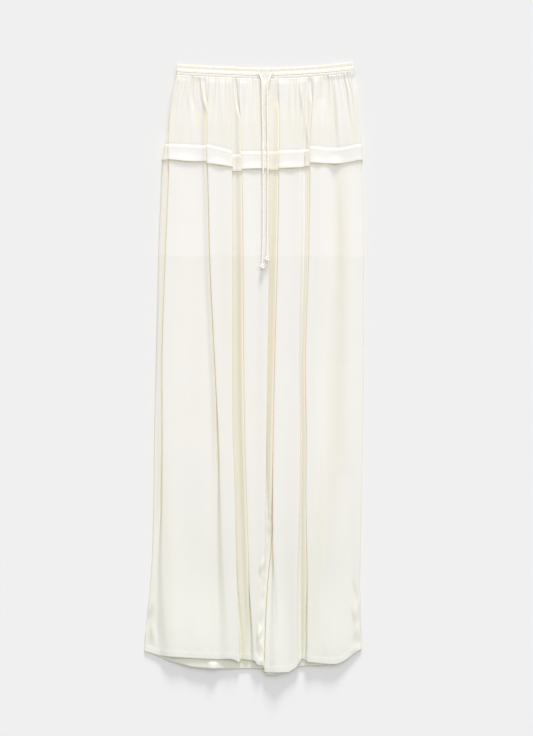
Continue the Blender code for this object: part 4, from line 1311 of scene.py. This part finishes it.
class OBJECT_OT_drawstring(bpy.types.Operator):
    """Make the two ends of the drawstring and the knots that finish them"""

    bl_idname = "object.trouser_drawstring"
    bl_label = "Drawstring"

    def execute(self, context):
        diameter = context.scene.trouser_sizes.cord / MM
        for side, route in CORD_ROUTES.items():
            line = self.centre_line(route, diameter)
            tube = self.tube(f"drawstring_satin_{side}", line, diameter)
            knot = self.knot(f"knot_satin_{side}", route)
            finish_piece(tube, [f"drawstring_{side}"])
            finish_piece(knot, [f"knot_{side}"])
        return {"FINISHED"}

    @staticmethod
    def panel_top(down):
        """Top of the panel under the cords, with its gathers."""
        gathers = float(between(CORD_GATHERS, down))
        levels = sum(float(between(LEVELS, down, LEVEL_COLUMNS.index(name)))
                     for name in ("low", "rise"))
        return levels + CLOTH / 2.0 + 2.1 * min(gathers, 0.8)

    def height(self, down, diameter):
        """Middle of the cord: out of its channel, over the yoke, up over the band."""
        channel = CASING_BASE + 1.1 + diameter / 2.0
        surface = self.panel_top(down) + GAP + diameter / 2.0
        seam, band = line_values(CORD_STRETCH, 0.5)[:2]
        surface += (1.0 + GAP) * float(smoothstep((down - seam + 19.0) / 15.0)
                                       - smoothstep((down - band - 3.0) / 15.0))
        return channel + (surface - channel) * float(smoothstep((down - 22.0) / 9.0))

    def centre_line(self, route, diameter):
        """Points about 1 mm apart on a smooth curve through the route (x, down, z)."""
        points = np.array([(x, down, self.height(down, diameter)) for x, down in route])
        spans = len(points) - 1
        dense = []
        for step in range(60 * spans + 1):
            position = min(step / 60.0, spans - 1e-9)
            index = int(position)
            part = position - index
            before, here = points[max(index - 1, 0)], points[index]
            there, after = points[index + 1], points[min(index + 2, spans)]
            dense.append(0.5 * (2.0 * here + (there - before) * part
                                + (2.0 * before - 5.0 * here + 4.0 * there - after) * part ** 2
                                + (3.0 * here - before - 3.0 * there + after) * part ** 3))
        dense = np.array(dense)
        lengths = lengths_along(dense)
        stops = spaced(0.0, lengths[-1], 1.0)
        return np.stack([np.interp(stops, lengths, dense[:, axis]) for axis in range(3)],
                        axis=-1)

    @staticmethod
    def frames(line):
        """Two directions square to the line at each point."""
        forward = np.gradient(line, axis=0)
        forward /= np.linalg.norm(forward, axis=1)[:, None]
        side = np.cross(forward, (0.0, 0.0, 1.0))
        short = np.linalg.norm(side, axis=1) < 1e-6
        side[short] = (1.0, 0.0, 0.0)
        side /= np.linalg.norm(side, axis=1)[:, None]
        return side, np.cross(side, forward)

    def tube(self, name, line, diameter):
        """A sewn satin tube, a little flat, with small wrinkles and one seam."""
        side, up = self.frames(line)
        turns = np.linspace(0.0, 2.0 * math.pi, 17)[:-1][None, :]
        along = np.arange(len(line))[:, None]
        wrinkle = (0.05 * np.sin(along / 1.5 + 2.0 * np.sin(turns + along / 17.0))
                   + 0.03 * np.sin(along / 0.9 + 3.0 * turns))
        seam = -0.12 * np.exp(-((turns - 2.2 - 0.3 * np.sin(along / 40.0)) / 0.25) ** 2)
        radius = diameter / 2.0 * (1.0 + wrinkle + seam)
        return self.rings_to_mesh(name, line, side, CORD_FLATNESS * up, radius, turns)

    def knot(self, name, route):
        """An overhand knot: a tube led round a three-lobed loop, with its short tail."""
        last_x, last_down = route[-1]
        half_width, half_length, half_height = KNOT
        radius = KNOT_CORD
        turn = np.linspace(0.0, 2.0 * math.pi, 73)[:-1]
        loop_x = (np.sin(turn) + 2.0 * np.sin(2.0 * turn)) / 2.75
        loop_y = (np.cos(turn) - 2.0 * np.cos(2.0 * turn)) / 3.0
        loop_z = -np.sin(3.0 * turn)
        middle = last_down + GAP + half_length
        bottom = self.panel_top(middle) + GAP
        line = np.stack((last_x + (half_width - radius) * loop_x,
                         middle + (half_length - radius - 0.6) * loop_y,
                         bottom + half_height + (half_height - radius) * loop_z), axis=-1)
        forward = np.roll(line, -1, axis=0) - np.roll(line, 1, axis=0)
        forward /= np.linalg.norm(forward, axis=1)[:, None]
        side = np.cross(forward, (0.0, 0.0, 1.0))
        side /= np.linalg.norm(side, axis=1)[:, None]
        up = np.cross(side, forward)
        turns = np.linspace(0.0, 2.0 * math.pi, 15)[:-1][None, :]
        made = self.rings_to_mesh(name, line, side, up, radius, turns, closed=True)
        tail_line = np.stack((last_x + np.linspace(0.4, 0.9, 8),
                              middle + np.linspace(1.5, half_length - 0.3, 8),
                              bottom + np.linspace(2.4, 1.7, 8)), axis=-1)
        side, up = self.frames(tail_line)
        swell = np.array([1.0, 1.0, 1.0, 1.0, 1.0, 0.98, 0.85, 0.5])[:, None] * 1.5
        tail = self.rings_to_mesh(f"{name}_tail", tail_line, side, up, swell, turns)
        joined = bmesh.new()
        joined.from_mesh(made.data)
        joined.from_mesh(tail.data)
        joined.to_mesh(made.data)
        joined.free()
        bpy.data.objects.remove(tail)
        made.data.shade_smooth()
        return made

    @staticmethod
    def rings_to_mesh(name, line, side, up, radius, turns, closed=False):
        """A tube of rings round a line; `turns` are the angles of its points."""
        rings = (line[:, None, :] + (radius * np.cos(turns))[..., None] * side[:, None, :]
                 + (radius * np.sin(turns))[..., None] * up[:, None, :])
        count, sides = rings.shape[:2]
        points = to_world(rings[..., 0], rings[..., 1], rings[..., 2]).reshape(-1, 3)
        faces = []
        for index in range(count if closed else count - 1):
            following = (index + 1) % count
            for turn in range(sides):
                after = (turn + 1) % sides
                faces.append((index * sides + turn, index * sides + after,
                              following * sides + after, following * sides + turn))
        if not closed:
            faces.append(tuple(range(sides))[::-1])
            faces.append(tuple((count - 1) * sides + turn for turn in range(sides)))
        mesh = bpy.data.meshes.new(name)
        mesh.from_pydata(points.tolist(), [], faces)
        return new_object(name, mesh, cord_satin())


class OBJECT_OT_stage(bpy.types.Operator):
    """Make the floor, the soft studio light and the camera straight above"""

    bl_idname = "object.trouser_stage"
    bl_label = "Stage"

    def execute(self, context):
        scene = context.scene
        scene.view_settings.view_transform = "Standard"
        colours = scene.trouser_colours
        bpy.ops.mesh.primitive_plane_add(size=FLOOR_SIZE)
        floor = context.object
        floor.name = "floor"
        paint = bpy.data.materials.new("pale_floor")
        paint.use_nodes = True
        set_inputs(paint.node_tree, paint.node_tree.nodes["Principled BSDF"],
                   {"Base Color": (*colours.floor, 1.0), "Roughness": 0.9,
                    "Specular IOR Level": 0.1})
        floor.data.materials.append(paint)
        self.light("key", *KEY_LIGHT)
        self.light("fill", *FILL_LIGHT)
        world = bpy.data.worlds.new("studio")
        scene.world = world
        world.use_nodes = True
        set_inputs(world.node_tree, world.node_tree.nodes["Background"],
                   {"Color": (*STUDIO_LIGHT, 1.0), "Strength": WORLD_STRENGTH})
        data = bpy.data.cameras.new("camera")
        data.lens = LENS
        data.sensor_width = SENSOR
        data.clip_end = 50.0
        camera = bpy.data.objects.new("camera", data)
        scene.collection.objects.link(camera)
        camera.location = (*IMAGE_MIDDLE, IMAGE_SPAN * LENS / data.sensor_width)
        scene.camera = camera
        return {"FINISHED"}

    @staticmethod
    def light(name, towards, spread, strength):
        """A far soft light that shines from one direction; its spread is in degrees."""
        data = bpy.data.lights.new(name, "SUN")
        data.angle = math.radians(spread)
        data.energy = strength
        data.color = STUDIO_LIGHT
        made = bpy.data.objects.new(name, data)
        bpy.context.scene.collection.objects.link(made)
        made.location = [3.0 * axis for axis in towards]
        made.rotation_euler = made.location.to_track_quat("Z", "Y").to_euler()


class VIEW3D_PT_trousers(bpy.types.Panel):
    """Sidebar panel with the sizes, the colours and a button for each piece"""

    bl_label = "Trousers"
    bl_idname = "VIEW3D_PT_trousers"
    bl_space_type = "VIEW_3D"
    bl_region_type = "UI"
    bl_category = "Trousers"

    def draw(self, context):
        layout = self.layout
        for group in (context.scene.trouser_sizes, context.scene.trouser_colours):
            box = layout.box()
            for name in group.__annotations__:
                box.prop(group, name)
        for operator in OPERATORS:
            layout.operator(operator.bl_idname)


OPERATORS = (OBJECT_OT_stage, OBJECT_OT_drawstring, OBJECT_OT_waist_casings,
             OBJECT_OT_yoke, OBJECT_OT_hip_band, OBJECT_OT_legs)
CLASSES = (TrouserSizes, TrouserColours, *OPERATORS, VIEW3D_PT_trousers)


def register():
    for made in CLASSES:
        bpy.utils.register_class(made)
    bpy.types.Scene.trouser_sizes = PointerProperty(type=TrouserSizes)
    bpy.types.Scene.trouser_colours = PointerProperty(type=TrouserColours)


def unregister():
    del bpy.types.Scene.trouser_colours
    del bpy.types.Scene.trouser_sizes
    for made in reversed(CLASSES):
        bpy.utils.unregister_class(made)


def main():
    register()
    bpy.ops.object.trouser_stage()
    bpy.ops.object.trouser_drawstring()
    bpy.ops.object.trouser_waist_casings()
    bpy.ops.object.trouser_yoke()
    bpy.ops.object.trouser_hip_band()
    bpy.ops.object.trouser_legs()


if __name__ == "__main__":
    main()
